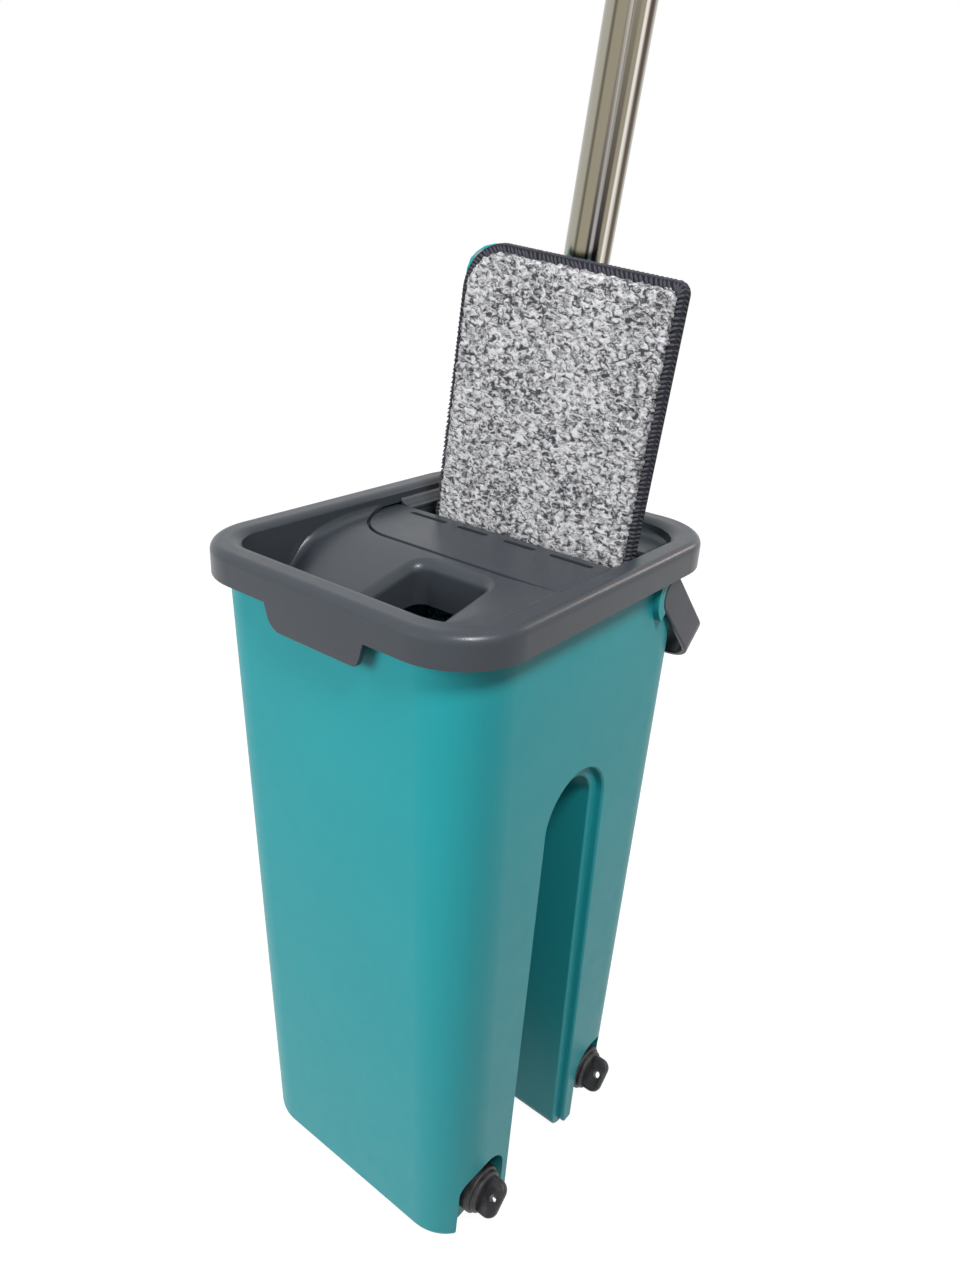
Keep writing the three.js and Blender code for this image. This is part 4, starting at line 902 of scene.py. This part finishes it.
def looped_yarn(name, dark, light):
    """Twisted light and dark yarn; the tone also follows the bump, so the loop tips are painted pale as lit and the
    gaps between them painted dark as shade.
    """
    finish = Finish(bpy.data.materials.new(name))
    local = mop_pattern(finish, 1.0)
    fleck = finish.noise(finish.stretched(local, (0.47, 0.33, 0.5)), 1.0, 2.5, 0.6, 0.9)
    drift = finish.noise(local, 0.03)
    # the yarn's two tones, which also paint the loop tips as lit and the gaps between loops as painted shade; the same
    # pattern is the bump
    fleck_and_loop_shade = fleck * 0.8 + finish.noise(local, 2.6, 2.0, 0.7) * 0.2 + (drift - 0.5) * 0.12
    middle = tuple((a + b) / 2 for a, b in zip(dark, light))
    tone = finish.add("ShaderNodeValToRGB", {"stops": [(0.41, dark), (0.5, middle), (0.6, light)]}, {0: fleck_and_loop_shade})
    soft = {"Specular IOR Level": 0.15, "Sheen Weight": 0.25, "Sheen Roughness": 0.5}
    return finish.surface(tone, 0.95, fleck_and_loop_shade, 0.7, 0.0009, soft)


settled(pile)
pile_yarn = looped_yarn("grey looped microfibre", colour("37383d"), colour("c6c6c8"))
pile_place = in_pad @ Matrix.Translation((pile_back, 0, 0)) @ face_up
pile_piece = finished("pad_pile_loops", pile, pile_place, pile_yarn, "mop_head", "pad_pile", "pad_pile", crease=180)


def flat_ring(half, corners, wide, low, high, edge):
    ring = upright_block(-half, half, low, high, corners)
    inner = half - Vector((wide, wide))
    inner_corners = {where: radius - wide / 2 for where, radius in corners.items()}
    cut(ring, upright_block(-inner, inner, low - 5, high + 5, inner_corners))
    for level in (low, high):
        round_edges(ring, edge, 4, lies_at(2, level))
    return ring


binding = settled(flat_ring(pad_half, pad_corners, binding_wide, 0, binding_thick, 1.7))


def thread(name, tone, ridge):
    """Charcoal yarn: fine twisted ridges, slightly paler where it has rubbed."""
    finish = Finish(bpy.data.materials.new(name))
    local = mop_pattern(finish, 1.0)
    waves = {"Vector": local, "Scale": ridge, "Distortion": 3.0, "Detail": 2.0}
    twist = finish.add("ShaderNodeTexWave", {"bands_direction": "DIAGONAL"}, waves)
    fluff = finish.noise(local, 1.2, 4.0, 0.7)
    deep, pale = tuple(c * 0.55 for c in tone), tuple(c * 1.7 for c in tone)
    tint = finish.mix(twist * 0.45 + fluff * 0.5, deep, pale)
    return finish.surface(tint, 0.9, twist * 0.6 + fluff, 0.6, 0.0004, {"Specular IOR Level": 0.2})


charcoal = thread("charcoal binding tape", colour("26272c"), 1.1)
paler = thread("charcoal overlock yarn", colour("47474f"), 1.1)
binding_place = in_pad @ Matrix.Translation((pad_back, 0, 0)) @ face_up
finished("pad_binding_core", binding, binding_place, charcoal, "mop_head", "pad_binding", "pad_binding")

stitch_pitch, stitch_radius, stitch_slant = 2.3, 0.85, 0.5
stitches = bmesh.new()


def round_the_pad():
    """Points of the pad's outline a stitch apart, each with the direction straight out of the pad there."""
    spots = []
    signs = [(1, -1), (1, 1), (-1, 1), (-1, -1)]
    for here, there in zip(signs, signs[1:] + signs[:1]):
        way = (Vector(there) - Vector(here)).normalized()
        out = Vector((way.y, -way.x))
        radius = pad_corners[there]
        start, end = (Vector((x * pad_half.x, y * pad_half.y)) for x, y in (here, there))
        start, end = start + way * pad_corners[here], end - way * radius
        count = round((end - start).length / stitch_pitch)
        spots += [(start.lerp(end, i / count), out) for i in range(count)]
        count = round(math.pi / 2 * radius / stitch_pitch)
        for i in range(count):
            swung = Matrix.Rotation(math.pi / 2 * i / count, 2) @ out
            spots.append((end - out * radius + swung * radius, swung))
    return spots


for number, (point, out) in enumerate(round_the_pad()):
    way = Vector((-out.y, out.x))
    slant = stitch_slant + 0.5 * noise.noise(Vector((number * 0.37, 0.5, 0)))
    point = point + way * 0.8 * noise.noise(Vector((number * 0.61, 4.5, 0)))
    for middle, reach in (
        ((*(point - out * binding_wide / 2), binding_thick - 0.1), (*(out + way * slant), 0)),
        ((*(point - out * 0.2), binding_thick / 2), (*(way * slant), 1)),
    ):
        direction = Vector(reach).normalized()
        aimed = direction.to_track_quat("Z", "Y").to_matrix().to_4x4()
        lengthways = Matrix.Diagonal((1, 1, (5.4 if reach[2] == 0 else 6.8) / (2 * stitch_radius), 1))
        laid = Matrix.Translation(middle) @ aimed @ lengthways
        bmesh.ops.create_icosphere(stitches, subdivisions=1, radius=stitch_radius, matrix=laid)
settled(stitches)
finished("pad_binding_stitches", stitches, binding_place, paler, "mop_head", "pad_binding", "pad_binding", crease=180)


def woven(name, dark, light, size):
    """Plain woven or hooked tape: a fine grid of threads with uneven tone."""
    finish = Finish(bpy.data.materials.new(name))
    local = mop_pattern(finish, size)
    waves = {"Vector": local, "Scale": 1.0, "Distortion": 0.4}
    weft, warp = (finish.add("ShaderNodeTexWave", {"bands_direction": way}, waves) for way in "ZY")
    knots = weft * warp
    tint = finish.mix(knots * 0.7 + finish.noise(local, 0.2, 3.0) * 0.3, dark, light)
    return finish.surface(tint, 0.92, knots, 0.8, 0.0003)


dressed(woven("pale loop backing", colour("9a9c98"), colour("d2d4cf"), 0.5), "pad_backing")
dressed(woven("dark hook tape", colour("202126"), colour("4a4b51"), 0.45), "hook_strip_left", "hook_strip_right")

# Mop head: a ribbed teal plate, a little smaller than the pad, with two hook strips glued to its face. A dark
# grey bracket is screwed to its back, and two pins and a swivel block join it to the handle's yoke.

plate_border, plate_trim, plate_waist, plate_shoulder, plate_dip = 9, 0.9, 2.6, 32, 0.9
plate = bmesh.new()
plate.from_mesh(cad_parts["mop_plate"].data)
bmesh.ops.transform(plate, matrix=in_mop.inverted(), verts=plate.verts)
plate_half = Vector([max(abs(v.co[axis]) for v in plate.verts) for axis in (1, 2)])
for vert in plate.verts:
    across, along = vert.co.yz
    if abs(across) > plate_half.x - plate_border:
        vert.co.y -= math.copysign(plate_waist, across) * smooth((plate_half.y - abs(along)) / plate_shoulder)
    if abs(along) > plate_half.y - plate_border:
        vert.co.z -= math.copysign(plate_trim + plate_dip * smooth((plate_half.x - abs(across)) / 24), along)
finished("mop_plate_moulding", plate, in_mop, teal, "mop_head", "teal_plastic", "mop_plate")
dressed(graphite, "plate_bracket", "swivel_block", "handle_yoke")


def metal(name, tone, roughness, painted_reflections=()):
    """Metal drawn or turned along the handle: fine lengthwise lines and, on the polished tube, painted reflections in
    bands of tone round it.
    """
    finish = Finish(bpy.data.materials.new(name))
    local = mop_pattern(finish, 1.0)
    lines = finish.noise(finish.stretched(local, (2.2, 2.2, 0.012)), 1.0, 3.0, 0.7)
    smears = finish.noise(local, 0.06, 4.0, 0.6)
    base = finish.mix(lines, tuple(c * 0.82 for c in tone), tone)
    # on the polished tube: painted reflections, bands of tone round it multiplied into its colour
    if painted_reflections:
        parts = [finish.add("ShaderNodeSeparateXYZ", None, {0: local}, i) for i in range(3)]
        around = parts[1].math("ARCTAN2", parts[0] * -1.0) / (2 * math.pi) + 0.5
        upwards = finish.ranged(parts[2], 150.0, 290.0)
        low, high = (finish.add("ShaderNodeValToRGB", {"stops": stops}, {0: around}) for stops in painted_reflections)
        base = finish.mix(1.0, base, finish.mix(upwards, low, high), "MULTIPLY")
    rough = lines * 0.06 + smears * 0.08 + (roughness - 0.07)
    return finish.surface(base, rough, lines, 0.08, 0.0001, {"Metallic": 1.0})


zinc = metal("zinc plated steel", colour("b9bbbd"), 0.3)
screws = [f"bracket_screw_{number}" for number in range(1, 5)]
dressed(zinc, *screws, "head_pin", "yoke_pin", "tube_rivet")

# Handle: two polished steel tubes, one sliding in the other. A twist lock with a dark grey sleeve joins them, and
# a ribbed grip and a teal cap with a hanging hole close the top.

tube_wall, tube_foot, tube_top = 0.8, 38, 678
upper_radius, upper_wall, upper_foot, upper_top = 9.5, 0.7, 200, 800
# the tones of the painted reflections laid round the polished tube
beige, khaki, cream, white = colour("b3b0a2"), colour("a29a86"), colour("d8d0c6"), colour("fffaf2")
shade, brown, dark, pale = colour("655d4e"), colour("54443c"), colour("2f2a31"), colour("b5b3b0")


def reflected(*bands):
    """Ramp stops for the tube's painted reflections: bands given by their place across the front of the tube, from its
    left edge to its right.
    """
    stops = [(0.0, beige), (1.0, beige)]
    for across, tone in bands:
        stops.append((0.397 + math.asin(1 - 2 * across) / (2 * math.pi), tone))
    return sorted(stops, key=lambda stop: stop[0])


# painted reflections on the polished tube, lower and higher up
low_painted_reflections = reflected(
    *((0.0, beige), (0.11, beige), (0.16, shade), (0.2, khaki), (0.35, khaki), (0.39, dark)),
    *((0.42, dark), (0.45, pale), (0.49, pale), (0.52, dark), (0.6, dark), (0.63, khaki)),
    *((0.7, khaki), (0.73, white), (0.79, cream), (0.83, shade), (0.9, shade), (0.94, beige)),
)
high_painted_reflections = reflected(
    *((0.0, beige), (0.11, beige), (0.15, shade), (0.2, khaki), (0.38, khaki), (0.41, cream)),
    *((0.45, cream), (0.47, shade), (0.5, khaki), (0.7, khaki), (0.73, white), (0.77, white)),
    *((0.8, brown), (0.88, brown), (0.93, beige)),
)
bright = metal("polished steel tube", (0.92, 0.92, 0.92), 0.2, (low_painted_reflections, high_painted_reflections))


def tube(radius, wall, low, high):
    return turned([(radius - wall, low), (radius, low), (radius, high), (radius - wall, high)], 96)


lower = cut(tube(tube_radius, tube_wall, tube_foot, tube_top), rod(2.3, 0, 20, 0, 24, (0, 0, tube_foot + 20)))
finished("lower_tube_steel", lower, in_mop, bright, "lower_pole", "bright_steel", "lower_tube")
upper = tube(upper_radius, upper_wall, upper_foot, upper_top)
finished("upper_tube_steel", upper, in_mop, bright, "upper_pole", "bright_steel", "upper_tube")
nylon = plastic("natural nylon", colour("d3d4d0"), 0.45, 0.4, 0.15, 0.03, 0.05)
dressed(nylon, "tube_bush", "lock_cone")

sleeve_radius, sleeve_low, sleeve_high = 15, 656, 714
neck_radius, sleeve_ceiling = 10, 680.1
sleeve_grips = 12
sleeve_soft = 2
sleeve = turned(
    [
        (tube_radius + gap, sleeve_low),
        *[
            (sleeve_radius - sleeve_soft * (1 - math.sin(a)), sleeve_low + sleeve_soft * (1 - math.cos(a)))
            for a in arc(5)
        ],
        *[(sleeve_radius - 3 * (1 - math.cos(a)), sleeve_high - 5 * (1 - math.sin(a))) for a in arc(6)],
        (neck_radius, sleeve_high),
        (neck_radius, sleeve_ceiling),
        (tube_radius + gap, sleeve_ceiling),
    ],
    96,
)
for number in range(sleeve_grips):
    swing = number / sleeve_grips * 2 * math.pi
    centre = ((sleeve_radius + 1) * math.cos(swing), (sleeve_radius + 1) * math.sin(swing), 0)
    groove = turned(rolled(2, sleeve_low + 6, sleeve_high - 8, 1.9), 20)
    cut(sleeve, moved(groove, centre))
finished("lock_sleeve_moulding", sleeve, in_mop, graphite, "lock_collar", "graphite_plastic", "lock_sleeve")

grip_radius, grip_low, grip_length, grip_rings, ring_depth, grip_belly = 14.5, 720, 118, 9, 0.9, 1
grip_outline = [(upper_radius + gap, grip_low)]
grip_rows = grip_rings * 14
for row in range(grip_rows + 1):
    share = row / grip_rows
    ring = ring_depth * max(0, -math.cos(share * grip_rings * 2 * math.pi))
    end = min(share, 1 - share) * grip_length
    curl = 2 - math.sqrt(max(4 - max(2 - end, 0) ** 2, 0))
    belly = grip_radius - grip_belly + grip_belly * math.sin(share * math.pi)
    grip_outline.append((belly - ring - curl, grip_low + share * grip_length))
grip_outline.append((upper_radius + gap, grip_low + grip_length))
grip = turned(grip_outline, 80)
finished("hand_grip_moulding", grip, in_mop, graphite, "upper_pole", "graphite_plastic", "hand_grip")

cap_low, cap_length, cap_wide = grip_low + grip_length + gap, 34, 13.5
cap_high = cap_low + cap_length
core = upper_radius - upper_wall - gap
dome = [(cap_wide * math.cos(a), cap_high - cap_length * 0.45 + cap_length * 0.45 * math.sin(a)) for a in arc(12)]
core_foot = upper_top - 17
cap_outline = [(0, core_foot), (core, core_foot), (core, cap_low), (cap_wide - 0.8, cap_low), (cap_wide, cap_low + 0.8)]
cap = turned([*cap_outline, *dome[:-1], (0, cap_high)], 80)
for side in (-1, 1):
    flat = block((6, -20, cap_high - 23.5), (20, 20, cap_high + 5))
    round_edges(flat, 3, 5, runs_along(1, lambda m: m.x < 10 and m.z < cap_high))
    if side < 0:
        bmesh.ops.rotate(flat, matrix=Matrix.Rotation(math.pi, 3, "Z"), verts=flat.verts)
    cut(cap, flat)
hole_radius, hole_drop = 6.5, 15
cut(cap, rod(hole_radius, -20, 20, 0, 48, (0, 0, cap_high - hole_drop)))


def on_hole(vert):
    return abs(math.hypot(vert.co.y, vert.co.z - cap_high + hole_drop) - hole_radius) < 0.05


hole_rims = [e for e in cap.edges if len(e.link_faces) == 2 and e.calc_face_angle() > math.radians(50)]
bevel(cap, [e for e in hole_rims if all(on_hole(v) for v in e.verts)], 0.8, 3)
finished("hang_cap_moulding", cap, in_mop, teal, "upper_pole", "teal_plastic", "hang_cap")
